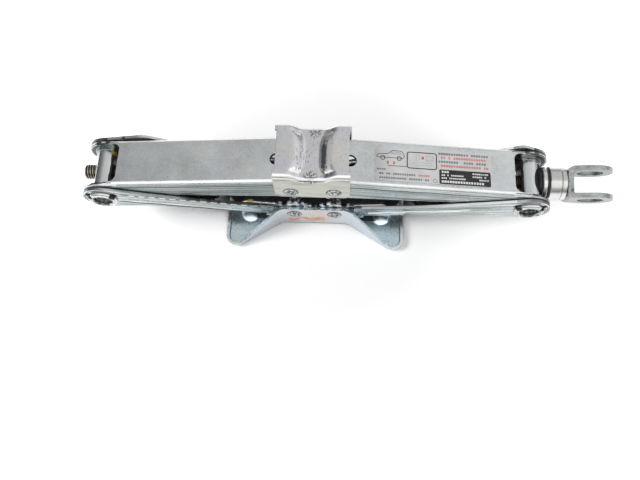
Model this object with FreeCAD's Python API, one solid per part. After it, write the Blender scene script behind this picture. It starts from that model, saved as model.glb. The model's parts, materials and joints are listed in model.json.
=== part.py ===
"""Mechanical scissor jack, closed, standing on its base.

Frame: millimetres, +Z up, +X along the lead screw towards the drive clevis, origin at the
centre of the base's underside.  An arm is drawn in its own frame first: X runs from its
gear end to its trunnion end, Z is upwards with the arm level, and the gear pin is at zero.
"""
import FreeCAD, Part
import math
import os

V = FreeCAD.Vector
ORIGIN = V(0, 0, 0)
AXIS_X = V(1, 0, 0)
AXIS_Y = V(0, 1, 0)
AXIS_Z = V(0, 0, 1)

# ---------------------------------------------------------------- sheet metal and fits
SHEET = 2.5                     # thickness of every pressed part
BEND_RADIUS = 4.0               # outer radius of the arms' and the saddle's bends
RUNNING_FIT = 0.05              # radial clearance of everything that turns on a pin or screw
SIDE_PLAY = 0.2                 # between an arm's gear end and the wall beside it
NEST_GAP = 0.3                  # between an upper arm and the lower arm around it

# ---------------------------------------------------------------- linkage
ARM_LENGTH = 150.0              # gear pin to trunnion
PIN_SPACING = 32.0              # between the two pins of the base, and of the saddle
CLOSED_ANGLE = 8.2              # slope of the arms when the jack is closed, degrees
UPPER_HALF_WIDTH = 19.6         # middle of the jack to the outside of an upper arm

# ---------------------------------------------------------------- gear ends
TEETH_PER_TURN = 16             # teeth that a whole gear of this size would have
TEETH_PER_SECTOR = 5
PRESSURE_ANGLE = 20.0
TOOTH_ADDENDUM = 1.6
TOOTH_DEDENDUM = 2.3
TOOTH_BACKLASH = 0.2            # taken off the thickness of each tooth at the pitch circle
FLOOR_CLEARANCE = 0.3           # between the base's floor and the lowest tooth tip

# ---------------------------------------------------------------- arms
EAR_RADIUS = 15.5
LOWER_WEB_DROP = 4.8            # lower arm: web below the gear pin, and how much it falls away
LOWER_WEB_SLOPE = 0.05
UPPER_WEB_RISE = 10.8           # upper arm: web above the gear pin, and how much it rises
UPPER_WEB_SLOPE = 0.045
LOWER_WEB_START = 24.0          # from the gear pin to the lower arm's web
LOWER_WEB_SETBACK = 18.0        # from the trunnion to where the lower arm's ears begin
LOWER_WEB_TAIL = 3.2            # how far its web runs on from there
UPPER_WEB_START = -3.0
UPPER_WEB_SETBACK = 16.0
WEB_CORNER_RADIUS = 5.0
LOWER_ARM_START = 17.0          # from the gear pin to the lower channel's square end
FLANGE_HIGH = 11.4              # lower arm's flange above the pin line: at its square end,
FLANGE_WAIST = 9.2              # at its waist
FLANGE_EAR = 12.6               # and near the ear
FLANGE_WAIST_AT = 64.0
NOTCH_START = 43.7              # relief notches in the lower arm's web beside its bends
NOTCH_LENGTH = 25.1
NOTCH_DEPTH = 10.5
NOTCH_TAPER = 1.0               # how much each slanted side runs in over the depth
LUG_FOOT = 70.0                 # lug on the left lower arm's rear flange: where its rising side
LUG_SHOULDER_AT = 103.0         # would meet the pin line, its shoulder and its peak
LUG_SHOULDER = 22.0
LUG_PEAK_AT = 121.5
LUG_PEAK = 26.6
LUG_BLEND = 20.0
CROWN_FOOT = 75.0               # higher crown of the right lower arm's rear ear
CROWN_AT = 147.5
CROWN_PEAK = 20.9
CROWN_BLEND = 9.0
UPPER_FLANGE_DEEP = 12.4        # upper arm's flange below the pin line: near the gears
UPPER_FLANGE_SHALLOW = 2.0      # and near the ear
NECK_LENGTH = 32.0              # from the trunnion to where an arm swells into its ear
BEAD_RADIUS = 1.4               # stiffening bead along the lower arm's flange
BEAD_PROUD = 0.6
BEAD_HEIGHT = 1.5
BEAD_FROM = 28.0
BEAD_END_SETBACK = 20.0
WEB_HOLE_RADIUS = 4.7           # hole in the upper arm's web, beside the saddle
WEB_HOLE_FROM_PIN = 10.2
DIMPLE_RADIUS = 2.8             # pockets in the lower arm's ear, left by staking the lip
DIMPLE_DEPTH = 1.1
DIMPLE_FROM_AXIS = 11.0
DIMPLE_ANGLE = 33.0             # above the level, degrees

# ---------------------------------------------------------------- gear brackets inside the lower arms
BRACKET_TOP = 10.1              # edge of the bracket above the pin
BRACKET_TOP_LENGTH = 40.5       # from the gear pin to where that edge turns down
BRACKET_LENGTH = 46.0           # from the gear pin to the foot of the slanted end
BRACKET_WEB_START = 22.0
WELD_RADIUS = 4.0               # projections that join a bracket to its channel
WELD_FIRST = 23.0
WELD_SPACING = 13.0
WELD_HEIGHT = 3.5               # above the pin line

# ---------------------------------------------------------------- pins and trunnions
PIN_RADIUS = 5.0
RIVET_HEAD_RADIUS = 5.9
RIVET_HEAD_RISE = 1.7
JOURNAL_RADIUS = 8.0
BARREL_RADIUS = 10.0
BARREL_FLAT = 6.3               # trunnion axis to the flats the screw passes through
BARREL_SHOULDER = 2.0           # round part left at each end of the barrel
WASHER_THICKNESS = 2.0
WASHER_RADIUS = 10.5
LIP_RADIUS = 11.3
LIP_THICKNESS = 2.7
CUP_RADIUS = 7.0
CUP_MOUTH_RADIUS = 7.9
CUP_DEPTH = 3.8

# ---------------------------------------------------------------- screw line
SCREW_RADIUS = 6.0
SCREW_STUB = 16.5               # screw end beyond the nut trunnion's axis
SEAT_THICKNESS = 2.5
SEAT_RADIUS = 12.0
RACE_THICKNESS = 4.1
RACE_RADIUS = 12.5
RACE_GAP = 1.8
BALL_RADIUS = 2.0
BALL_PITCH_RADIUS = 9.2
BALL_COUNT = 10
CAGE_THICKNESS = 1.1
CAGE_RADIUS = 11.6
CAP_LENGTH = 8.9
CAP_RADIUS = 12.9
SPACER_LENGTH = 4.1
SPACER_RADIUS = 12.6
EDGE_BREAK = 0.5
BORE_CLEARANCE = 0.3

# ---------------------------------------------------------------- drive clevis
CLEVIS_BASE = 4.2
CLEVIS_EAR = 3.8
CLEVIS_SPACING = 20.9           # between the middles of the two ears
CLEVIS_BASE_HALF_HEIGHT = 12.6
CLEVIS_EAR_RADIUS = 16.4
CLEVIS_HOLE_RADIUS = 9.75
CLEVIS_REACH = 20.1             # back of the clevis to its hole
CLEVIS_BEND = 5.0
CLEVIS_TURN = 15.5              # degrees about the screw
PEEN_RADIUS = 8.5
PEEN_RISE = 2.2

# ---------------------------------------------------------------- saddle
SADDLE_HALF_LENGTH = 28.1
SADDLE_RISE = 25.0              # top of the saddle above its pins
SADDLE_SKIRT = 9.0              # bottom of its walls below the pins
SADDLE_CORNER = 5.0
VALLEY_DEPTH = 6.0
VALLEY_HALF_TOP = 17.0          # from the middle to where the flat pads begin
VALLEY_HALF_BOTTOM = 5.0        # half of the flat at the valley's bottom
SADDLE_NOTCH = 1.4
SADDLE_NOTCH_HALF_WIDTH = 16.5

# ---------------------------------------------------------------- base
BASE_HALF_LENGTH = 72.0
BASE_HALF_WIDTH = 44.3
WALL_ABOVE_PIN = 8.5
WAIST_HALF_LENGTH = 26.5
WALL_FLAT_HALF_LENGTH = 24.0
FOOT_LENGTH = 11.0              # straight side of a foot, from its end to the flare
RIM_HEIGHT = 4.8
RIM_LENGTH = 13.5               # low rim, from the foot's end to where the wall starts to climb
BASE_BEND = 3.5
FOOT_CORNER = 8.6
FLARE_CORNER = 14.0
DOME_RADIUS = 7.6
DOME_RISE = 1.9
DOME_FROM_END = 18.5
DOME_FROM_SIDE = 29.0

# ---------------------------------------------------------------- label plate
LABEL_THICKNESS = 0.25
LABEL_START = 28.3
LABEL_LENGTH = 87.5
LABEL_WIDTH = 27.9
LABEL_CORNER = 2.0
LABEL_SHIFT = -0.5

# ---------------------------------------------------------------- worked out from the above
HALF_SPACING = PIN_SPACING / 2
PITCH_RADIUS = HALF_SPACING
TIP_RADIUS = PITCH_RADIUS + TOOTH_ADDENDUM
ROOT_RADIUS = PITCH_RADIUS - TOOTH_DEDENDUM
INVOLUTE_BASE_RADIUS = PITCH_RADIUS * math.cos(math.radians(PRESSURE_ANGLE))
TOOTH_PITCH = 360.0 / TEETH_PER_TURN

CLOSED = math.radians(CLOSED_ANGLE)
ARM_REACH = ARM_LENGTH * math.cos(CLOSED)
ARM_RISE = ARM_LENGTH * math.sin(CLOSED)
BASE_PIN_Z = SHEET + FLOOR_CLEARANCE + TIP_RADIUS
TRUNNION_X = HALF_SPACING + ARM_REACH
TRUNNION_Z = BASE_PIN_Z + ARM_RISE
SADDLE_PIN_Z = TRUNNION_Z + ARM_RISE
SADDLE_TOP_Z = SADDLE_PIN_Z + SADDLE_RISE

UPPER_INNER = UPPER_HALF_WIDTH - SHEET
LOWER_INNER = UPPER_HALF_WIDTH + NEST_GAP
LOWER_HALF_WIDTH = LOWER_INNER + SHEET
WALL_INNER = UPPER_HALF_WIDTH + SIDE_PLAY
WALL_OUTER = WALL_INNER + SHEET
WALL_TOP_Z = BASE_PIN_Z + WALL_ABOVE_PIN

BARREL_HALF_WIDTH = UPPER_INNER - WASHER_THICKNESS - 2 * RUNNING_FIT
JOURNAL_HALF_WIDTH = LOWER_HALF_WIDTH + RUNNING_FIT
TRUNNION_HALF_WIDTH = JOURNAL_HALF_WIDTH + LIP_THICKNESS

SEAT_X = TRUNNION_X + BARREL_FLAT + RUNNING_FIT
RACE_X = SEAT_X + SEAT_THICKNESS
CAP_X = RACE_X + RACE_THICKNESS + RACE_GAP
BALL_X = (RACE_X + RACE_THICKNESS + CAP_X) / 2
SPACER_X = CAP_X + CAP_LENGTH
CLEVIS_X = SPACER_X + SPACER_LENGTH

THROUGH = 100.0                 # longer than any cut is deep


# ---------------------------------------------------------------- drawing helpers
def xz(u, v):
    """Point of a side view."""
    return V(u, 0, v)


def xy(u, v):
    """Point of a plan view."""
    return V(u, v, 0)


def yz(u, v):
    """Point of an end view."""
    return V(0, u, v)


def rounded_wire(corners, place):
    """Closed wire through corners (u, v, radius), each corner rounded by its radius."""
    count = len(corners)
    starts, middles, ends = [], [], []
    for i, (u, v, radius) in enumerate(corners):
        here = V(u, v, 0)
        before = V(*corners[i - 1][:2], 0) - here
        after = V(*corners[(i + 1) % count][:2], 0) - here
        before.normalize()
        after.normalize()
        half = before.getAngle(after) / 2
        reach = radius / math.tan(half)
        bisector = before + after
        bisector.normalize()
        centre = here + bisector * (radius / math.sin(half))
        starts.append(here + before * reach)
        middles.append(centre - bisector * radius)
        ends.append(here + after * reach)
    edges = []
    for i in range(count):
        if corners[i][2] > 0:
            arc = [place(p.x, p.y) for p in (starts[i], middles[i], ends[i])]
            edges.append(Part.Arc(*arc).toShape())
        leave = ends[i]
        arrive = starts[(i + 1) % count]
        if (arrive - leave).Length > 1e-6:
            edges.append(Part.makeLine(place(leave.x, leave.y), place(arrive.x, arrive.y)))
    return Part.Wire(edges)


def sharp(points):
    """Corners without rounding."""
    return [(u, v, 0) for u, v in points]


def side_prism(corners, y_from, y_to):
    """Side-view outline made solid between two planes across the jack."""
    face = Part.Face(rounded_wire(corners, xz))
    face.translate(V(0, y_from, 0))
    return face.extrude(V(0, y_to - y_from, 0))


def plan_prism(corners, z_from, z_to):
    """Plan-view outline made solid between two heights."""
    face = Part.Face(rounded_wire(corners, xy))
    face.translate(V(0, 0, z_from))
    return face.extrude(V(0, 0, z_to - z_from))


def cylinder_y(x, z, radius, y_from, y_to):
    """Round bar across the jack."""
    return Part.makeCylinder(radius, y_to - y_from, V(x, y_from, z), AXIS_Y)


def cylinder_x(radius, x_from, x_to):
    """Round bar on the screw's axis."""
    return Part.makeCylinder(radius, x_to - x_from, V(x_from, 0, TRUNNION_Z), AXIS_X)


def ring_x(outer, inner, x_from, x_to, edge=0.0):
    """Turned ring on the screw's axis, with its outer edges broken."""
    disc = cylinder_x(outer, x_from, x_to)
    if edge > 0:
        rims = [e for e in disc.Edges if hasattr(e.Curve, "Radius")]
        disc = disc.makeChamfer(edge, rims)
    return disc.cut(cylinder_x(inner, x_from - 1, x_to + 1))


def mirror_y(shape):
    """Copy on the other side of the jack's middle plane."""
    return shape.mirror(ORIGIN, AXIS_Y)


def joined(first, *others):
    """One clean solid from pieces that share volume."""
    return first.fuse(list(others)).removeSplitter()


# ---------------------------------------------------------------- gear teeth
def involute(radius):
    """Involute function of the pressure angle at a radius."""
    angle = math.acos(INVOLUTE_BASE_RADIUS / max(radius, INVOLUTE_BASE_RADIUS))
    return math.tan(angle) - angle


def tooth_corners(centre_angle):
    """Side-view outline of one tooth about the gear pin, pointing at centre_angle degrees."""
    half_at_pitch = math.pi / (2 * TEETH_PER_TURN) - TOOTH_BACKLASH / (2 * PITCH_RADIUS)
    foot = ROOT_RADIUS - SHEET
    steps = 4
    flank = [INVOLUTE_BASE_RADIUS + (TIP_RADIUS - INVOLUTE_BASE_RADIUS) * i / steps
             for i in range(steps + 1)]
    corners = []
    for side in (-1, 1):
        radii = [foot] + flank
        if side > 0:
            radii = radii[::-1]
        for radius in radii:
            half = half_at_pitch + involute(PITCH_RADIUS) - involute(radius)
            angle = math.radians(centre_angle) + side * half
            corners.append((radius * math.cos(angle), radius * math.sin(angle)))
    return corners


def sector_angles(phase, turn):
    """Tooth directions of one sector.  Turn is +1 for a lower arm and -1 for an upper arm."""
    first = phase - TOOTH_PITCH if phase > 0 else phase
    offsets = [first + TOOTH_PITCH * i for i in range(TEETH_PER_SECTOR)]
    return [180 - turn * (offset + CLOSED_ANGLE) for offset in offsets]


def gear_disc(phase, turn, half_width):
    """Toothed end of an arm as one block across the jack."""
    disc = cylinder_y(0, 0, ROOT_RADIUS, -half_width, half_width)
    teeth = [side_prism(sharp(tooth_corners(a)), -half_width, half_width)
             for a in sector_angles(phase, turn)]
    return disc.fuse(teeth)


# ---------------------------------------------------------------- arms, level
def channel(half_width, web_at_pin, slope, opens):
    """Endless U channel.  Opens is +1 when the web is at the bottom, -1 when it is on top."""
    height = 3 * EAR_RADIUS
    inner_bend = BEND_RADIUS - SHEET
    outer = [(-half_width, 0, BEND_RADIUS), (half_width, 0, BEND_RADIUS),
             (half_width, height, 0), (-half_width, height, 0)]
    inner = [(-half_width + SHEET, SHEET, inner_bend), (half_width - SHEET, SHEET, inner_bend),
             (half_width - SHEET, height + 1, 0), (-half_width + SHEET, height + 1, 0)]
    length = ARM_LENGTH + 4 * EAR_RADIUS
    solid = Part.Face(rounded_wire(outer, yz)).extrude(V(length, 0, 0))
    solid = solid.cut(Part.Face(rounded_wire(inner, yz)).extrude(V(length, 0, 0)))
    solid.translate(V(-2 * EAR_RADIUS, 0, 0))
    if opens < 0:
        solid = solid.mirror(ORIGIN, AXIS_Z)
    solid.rotate(ORIGIN, AXIS_Y, -math.degrees(math.atan(slope)))
    solid.translate(V(0, 0, web_at_pin))
    return solid


def web_window(half_width, x_from, x_to):
    """Cutter that leaves the flanges and takes the web away between two stations."""
    radius = min(WEB_CORNER_RADIUS, half_width / 2, (x_to - x_from) / 3)
    corners = [(x_from, -half_width, radius), (x_to, -half_width, radius),
               (x_to, half_width, radius), (x_from, half_width, radius)]
    return plan_prism(corners, -THROUGH, THROUGH)


def ear_tangent(x, z):
    """Point where a line from (x, z) touches the ear's circle on the same side."""
    dx = ARM_LENGTH - x
    reach = math.hypot(dx, z)
    swing = math.acos(EAR_RADIUS / reach)
    toward = math.atan2(abs(z), -dx)
    angle = toward - swing
    side = 1 if z > 0 else -1
    return (ARM_LENGTH + EAR_RADIUS * math.cos(angle), side * EAR_RADIUS * math.sin(angle))


def dimple_places(turn):
    """Centres of the two staking pockets about the trunnion, in a frame turned by turn degrees."""
    for angle in (DIMPLE_ANGLE, 180 - DIMPLE_ANGLE):
        seen = math.radians(angle - turn)
        yield DIMPLE_FROM_AXIS * math.cos(seen), DIMPLE_FROM_AXIS * math.sin(seen)


def lower_web_z(x):
    """Underside of the lower arm's web."""
    return -LOWER_WEB_DROP - LOWER_WEB_SLOPE * x


def upper_web_z(x):
    """Top of the upper arm's web."""
    return UPPER_WEB_RISE + UPPER_WEB_SLOPE * x


def rear_rise(corners):
    """Raised stretch of a rear flange: from the pin line over its corners to the ear's circle."""
    touch = ear_tangent(*corners[-1][:2])
    return side_prism(corners + [(touch[0], touch[1], 0), (ARM_LENGTH, 0, 0)],
                      LOWER_INNER, LOWER_HALF_WIDTH)


def lower_flange_outline(half):
    """Side outline of the lower channel's flanges, between its square end and the trunnion."""
    deep = -2 * EAR_RADIUS
    neck = ARM_LENGTH - NECK_LENGTH
    tail = ARM_LENGTH - LOWER_WEB_SETBACK + LOWER_WEB_TAIL
    return side_prism([(LOWER_ARM_START, deep, 0), (tail, deep, 0),
                       (tail, FLANGE_EAR + SHEET / 2, 0), (neck, FLANGE_EAR, 4 * EAR_RADIUS),
                       (FLANGE_WAIST_AT, FLANGE_WAIST, 4 * EAR_RADIUS),
                       (LOWER_ARM_START, FLANGE_HIGH, SHEET)], -half, half)


def lower_arm(rise):
    """Lower arm: channel with its web below and its rear edge raised, from its square end to the ears."""
    wide = LOWER_HALF_WIDTH + 1
    neck = ARM_LENGTH - NECK_LENGTH
    web_end = ARM_LENGTH - LOWER_WEB_SETBACK
    top_touch = ear_tangent(neck, FLANGE_EAR)
    low_touch = ear_tangent(web_end - NECK_LENGTH / 2, lower_web_z(web_end))
    arm = channel(LOWER_HALF_WIDTH, -LOWER_WEB_DROP, -LOWER_WEB_SLOPE, 1).common(lower_flange_outline(wide))

    ear = side_prism(sharp([(neck, FLANGE_EAR), top_touch, (ARM_LENGTH, 0), low_touch,
                            (web_end - NECK_LENGTH / 2, lower_web_z(web_end) + BEND_RADIUS),
                            (neck - SHEET, lower_web_z(neck) + BEND_RADIUS)]),
                     LOWER_INNER, LOWER_HALF_WIDTH)
    ear = ear.fuse(cylinder_y(ARM_LENGTH, 0, EAR_RADIUS, LOWER_INNER, LOWER_HALF_WIDTH))

    bead_y = LOWER_HALF_WIDTH + BEAD_PROUD - BEAD_RADIUS
    bead_to = ARM_LENGTH - BEAD_END_SETBACK
    bead = Part.makeCylinder(BEAD_RADIUS, bead_to - BEAD_FROM, V(BEAD_FROM, bead_y, BEAD_HEIGHT), AXIS_X)
    bead_ends = [Part.makeSphere(BEAD_RADIUS, V(x, bead_y, BEAD_HEIGHT)) for x in (BEAD_FROM, bead_to)]

    pieces = [ear, bead] + bead_ends
    arm = joined(arm, rear_rise(rise), *(pieces + [mirror_y(p) for p in pieces]))
    window = LOWER_INNER - BEND_RADIUS / 2
    arm = arm.cut(web_window(LOWER_INNER, -2 * TIP_RADIUS, LOWER_WEB_START))
    arm = arm.cut(web_window(window, web_end + LOWER_WEB_TAIL, ARM_LENGTH + 2 * EAR_RADIUS))
    run_in = NOTCH_DEPTH * NOTCH_TAPER
    for side in (-1, 1):
        notch = [(NOTCH_START, side * window, 0), (NOTCH_START + run_in, side * (window - NOTCH_DEPTH), 1),
                 (NOTCH_START + NOTCH_LENGTH - run_in, side * (window - NOTCH_DEPTH), 1),
                 (NOTCH_START + NOTCH_LENGTH, side * window, 0)]
        arm = arm.cut(plan_prism(notch, -THROUGH, 0))
    arm = arm.cut(cylinder_y(ARM_LENGTH, 0, JOURNAL_RADIUS + RUNNING_FIT, -THROUGH, THROUGH))
    for x, z in dimple_places(CLOSED_ANGLE):
        dimple = cylinder_y(ARM_LENGTH + x, z, DIMPLE_RADIUS, LOWER_HALF_WIDTH - DIMPLE_DEPTH, THROUGH)
        arm = arm.cut([dimple, mirror_y(dimple)])
    return arm.removeSplitter()


def gear_bracket(phase):
    """Inner bracket of a lower arm: a short channel whose two sides carry the gear teeth."""
    wide = UPPER_HALF_WIDTH + 1
    deep = -2 * EAR_RADIUS
    web_seat = LOWER_WEB_DROP - SHEET * math.hypot(1, LOWER_WEB_SLOPE)
    side = side_prism([(0, -ROOT_RADIUS, 0), (BRACKET_WEB_START, -ROOT_RADIUS, 0),
                       (BRACKET_WEB_START, deep, 0), (BRACKET_LENGTH, deep, 0),
                       (BRACKET_LENGTH, -web_seat, 0), (BRACKET_TOP_LENGTH, BRACKET_TOP, BEND_RADIUS),
                       (0, BRACKET_TOP, 0)], -wide, wide)
    outline = side.fuse(gear_disc(phase, 1, wide))
    bracket = channel(UPPER_HALF_WIDTH, -web_seat, -LOWER_WEB_SLOPE, 1).common(outline)

    low = channel_flanks(outline)
    bracket = joined(bracket, low, mirror_y(low))
    bracket = bracket.cut(web_window(UPPER_INNER - BEND_RADIUS / 2, -2 * TIP_RADIUS, BRACKET_WEB_START))
    tongue = UPPER_INNER - NOTCH_DEPTH
    for turn in (-1, 1):
        bevel = [(BRACKET_LENGTH - NOTCH_DEPTH, turn * UPPER_INNER, 0), (BRACKET_LENGTH, turn * tongue, 0),
                 (BRACKET_LENGTH + 1, turn * tongue, 0), (BRACKET_LENGTH + 1, turn * UPPER_INNER, 0)]
        bracket = bracket.cut(plan_prism(bevel, -THROUGH, 0))
    for i in range(2):
        weld = cylinder_y(WELD_FIRST + i * WELD_SPACING, WELD_HEIGHT, WELD_RADIUS,
                          UPPER_HALF_WIDTH - SHEET / 2, LOWER_INNER)
        bracket = joined(bracket, weld, mirror_y(weld))
    return bracket.cut(cylinder_y(0, 0, PIN_RADIUS + RUNNING_FIT, -THROUGH, THROUGH)).removeSplitter()


def channel_flanks(outline):
    """Flat toothed plate of the bracket on the +Y side, clear of the bend."""
    plate = Part.makeBox(BRACKET_WEB_START + 2 * TIP_RADIUS, SHEET, 4 * TIP_RADIUS,
                         V(-2 * TIP_RADIUS, UPPER_INNER, -2 * TIP_RADIUS))
    return plate.common(outline)


def upper_arm(phase):
    """Upper arm: channel with its web on top, toothed at its inner end."""
    high = 2 * EAR_RADIUS
    wide = UPPER_HALF_WIDTH + 1
    neck = ARM_LENGTH - NECK_LENGTH
    web_end = ARM_LENGTH - UPPER_WEB_SETBACK
    shoulder = web_end + WEB_CORNER_RADIUS
    top_touch = ear_tangent(shoulder, upper_web_z(shoulder))
    low_touch = ear_tangent(neck, -UPPER_FLANGE_SHALLOW)

    flange = side_prism(sharp([(0, high), (shoulder, high), (shoulder, upper_web_z(shoulder)),
                               top_touch, (ARM_LENGTH, 0), low_touch, (neck, -UPPER_FLANGE_SHALLOW),
                               (ROOT_RADIUS, -UPPER_FLANGE_DEEP), (0, -UPPER_FLANGE_DEEP)]),
                        -wide, wide)
    back = side_prism(sharp([(-ROOT_RADIUS, 0), (-ROOT_RADIUS, high), (0, high), (0, 0)]), -wide, wide)
    outline = flange.fuse([cylinder_y(ARM_LENGTH, 0, EAR_RADIUS, -wide, wide),
                           gear_disc(phase, -1, wide), back.common(cylinder_y(0, 0, ROOT_RADIUS, -wide, wide))])
    arm = channel(UPPER_HALF_WIDTH, UPPER_WEB_RISE, UPPER_WEB_SLOPE, -1).common(outline)
    inner = UPPER_INNER - BEND_RADIUS / 4
    arm = arm.cut(web_window(inner, -3 * TIP_RADIUS, UPPER_WEB_START))
    arm = arm.cut(web_window(inner, web_end, ARM_LENGTH + 3 * EAR_RADIUS))
    arm = arm.cut(Part.makeCylinder(WEB_HOLE_RADIUS, THROUGH, V(WEB_HOLE_FROM_PIN, 0, 0), AXIS_Z))
    arm = arm.cut(cylinder_y(0, 0, PIN_RADIUS + RUNNING_FIT, -THROUGH, THROUGH))
    arm = arm.cut(cylinder_y(ARM_LENGTH, 0, JOURNAL_RADIUS + RUNNING_FIT, -THROUGH, THROUGH))
    return arm.removeSplitter()


def label_plate():
    """Thin sticker on the upper arm's web."""
    half = LABEL_WIDTH / 2
    corners = [(LABEL_START, LABEL_SHIFT - half, LABEL_CORNER),
               (LABEL_START + LABEL_LENGTH, LABEL_SHIFT - half, LABEL_CORNER),
               (LABEL_START + LABEL_LENGTH, LABEL_SHIFT + half, LABEL_CORNER),
               (LABEL_START, LABEL_SHIFT + half, LABEL_CORNER)]
    plate = plan_prism(corners, 0, LABEL_THICKNESS)
    plate.rotate(ORIGIN, AXIS_Y, -math.degrees(math.atan(UPPER_WEB_SLOPE)))
    plate.translate(V(0, 0, UPPER_WEB_RISE))
    return plate


def place_arm(shape, side, pin_z, slope):
    """Put a level arm at its pin, on the right (side +1) or mirrored to the left (side -1)."""
    placed = shape.copy()
    placed.rotate(ORIGIN, AXIS_Y, -slope)
    placed.translate(V(HALF_SPACING, 0, pin_z))
    if side < 0:
        placed = placed.mirror(ORIGIN, AXIS_X)
    return placed


# ---------------------------------------------------------------- base and saddle
def base_plate():
    """Pressed pan: high walls at the waist for the pins, splayed feet with a low rim."""
    foot_start = BASE_HALF_LENGTH - FOOT_LENGTH
    quarter = [(WAIST_HALF_LENGTH, WALL_OUTER, FLARE_CORNER), (foot_start, BASE_HALF_WIDTH, FOOT_CORNER / 2),
               (BASE_HALF_LENGTH, BASE_HALF_WIDTH, FOOT_CORNER)]
    corners = [(x, -y, r) for x, y, r in quarter]
    corners += [(x, y, r) for x, y, r in reversed(quarter)]
    corners += [(-x, y, r) for x, y, r in quarter]
    corners += [(-x, -y, r) for x, y, r in reversed(quarter)]
    outline = Part.Face(rounded_wire(corners, xy))
    block = outline.extrude(V(0, 0, WALL_TOP_Z))
    low_edges = [e for e in block.Edges if e.BoundBox.ZMax < 1e-6]
    block = block.makeFillet(BASE_BEND, low_edges)

    hollow_face = outline.makeOffset2D(-SHEET)
    hollow = hollow_face.extrude(V(0, 0, WALL_TOP_Z))
    low_edges = [e for e in hollow.Edges if e.BoundBox.ZMax < 1e-6]
    hollow = hollow.makeFillet(BASE_BEND - SHEET, low_edges)
    hollow.translate(V(0, 0, SHEET))
    pan = block.cut(hollow)

    end = BASE_HALF_LENGTH + 1
    rim_start = BASE_HALF_LENGTH - RIM_LENGTH
    trim = side_prism([(-end, -1, 0), (end, -1, 0), (end, RIM_HEIGHT, 0), (rim_start, RIM_HEIGHT, 8),
                       (WALL_FLAT_HALF_LENGTH + 4, WALL_TOP_Z, 12), (-WALL_FLAT_HALF_LENGTH - 4, WALL_TOP_Z, 12),
                       (-rim_start, RIM_HEIGHT, 8), (-end, RIM_HEIGHT, 0)],
                      -BASE_HALF_WIDTH - 1, BASE_HALF_WIDTH + 1)
    pan = pan.common(trim)
    for x_side in (-1, 1):
        for y_side in (-1, 1):
            pan = emboss_dome(pan, x_side * (BASE_HALF_LENGTH - DOME_FROM_END),
                              y_side * (BASE_HALF_WIDTH - DOME_FROM_SIDE))
    for x in (-HALF_SPACING, HALF_SPACING):
        pan = pan.cut(cylinder_y(x, BASE_PIN_Z, PIN_RADIUS, -THROUGH, THROUGH))
    return pan.removeSplitter()


def emboss_dome(pan, x, y):
    """Raise a shallow round dome in the floor, hollow underneath."""
    ball = (DOME_RADIUS ** 2 + DOME_RISE ** 2) / (2 * DOME_RISE)
    centre_z = SHEET + DOME_RISE - ball
    outer = Part.makeSphere(ball, V(x, y, centre_z))
    floor = Part.makeBox(4 * DOME_RADIUS, 4 * DOME_RADIUS, THROUGH,
                         V(x - 2 * DOME_RADIUS, y - 2 * DOME_RADIUS, SHEET / 2))
    inner = Part.makeSphere(ball - SHEET, V(x, y, centre_z))
    return pan.fuse(outer.common(floor)).cut(inner)


def saddle_top_corners(drop):
    """Top line of the saddle from left to right, set down into the sheet by drop."""
    run = VALLEY_HALF_TOP - VALLEY_HALF_BOTTOM
    half_slope = math.atan(VALLEY_DEPTH / run)
    blend = run / (2 * math.sin(2 * half_slope))
    shift = drop * math.tan(half_slope)
    top_x = VALLEY_HALF_TOP - blend * math.tan(half_slope) + shift
    bottom_x = VALLEY_HALF_BOTTOM + blend * math.tan(half_slope) + shift
    top = SADDLE_TOP_Z - drop
    bottom = top - VALLEY_DEPTH
    hair = 1e-4                     # keeps the two arcs of each slope from meeting end to end
    crest = blend - drop - hair
    trough = blend + drop - hair
    return [(-top_x, top, crest), (-bottom_x, bottom, trough), (bottom_x, bottom, trough), (top_x, top, crest)]


def saddle():
    """Inverted U with a valley across its top that takes the car's sill."""
    low = SADDLE_PIN_Z - SADDLE_SKIRT
    end = SADDLE_HALF_LENGTH
    outer = [(-end, low, SADDLE_CORNER), (-end, SADDLE_TOP_Z, 0)] + saddle_top_corners(0)
    outer += [(end, SADDLE_TOP_Z, 0), (end, low, SADDLE_CORNER)]
    block = side_prism(outer, -WALL_OUTER, WALL_OUTER)
    top_edges = [e for e in block.Edges
                 if abs(abs(e.CenterOfMass.y) - WALL_OUTER) < 1e-3
                 and e.BoundBox.ZMin > SADDLE_TOP_Z - VALLEY_DEPTH - 1e-3]
    block = block.makeFillet(BEND_RADIUS, top_edges)

    wide = end + 1
    under = SADDLE_TOP_Z - SHEET
    inner = [(-wide, low - 1, 0), (-wide, under, 0)] + saddle_top_corners(SHEET)
    inner += [(wide, under, 0), (wide, low - 1, 0)]
    body = block.cut(side_prism(inner, -WALL_INNER, WALL_INNER))
    for side in (-1, 1):
        x = side * end - (SADDLE_NOTCH if side > 0 else 0)
        notch = Part.makeBox(SADDLE_NOTCH, 2 * SADDLE_NOTCH_HALF_WIDTH, THROUGH,
                             V(x, -SADDLE_NOTCH_HALF_WIDTH, SADDLE_TOP_Z - 2 * SHEET))
        body = body.cut(notch)
    for x in (-HALF_SPACING, HALF_SPACING):
        body = body.cut(cylinder_y(x, SADDLE_PIN_Z, PIN_RADIUS, -THROUGH, THROUGH))
    return body.removeSplitter()


# ---------------------------------------------------------------- pins and trunnions
def rivet_pin(x, z):
    """Plain pin across both walls with a domed head formed at each end."""
    pin = cylinder_y(x, z, PIN_RADIUS, -WALL_OUTER, WALL_OUTER)
    ball = (RIVET_HEAD_RADIUS ** 2 + RIVET_HEAD_RISE ** 2) / (2 * RIVET_HEAD_RISE)
    cap = Part.makeSphere(ball, V(x, WALL_OUTER + RIVET_HEAD_RISE - ball, z))
    cap = cap.common(Part.makeBox(4 * ball, THROUGH, 4 * ball, V(x - 2 * ball, WALL_OUTER, z - 2 * ball)))
    return joined(pin, cap, mirror_y(cap))


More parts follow.
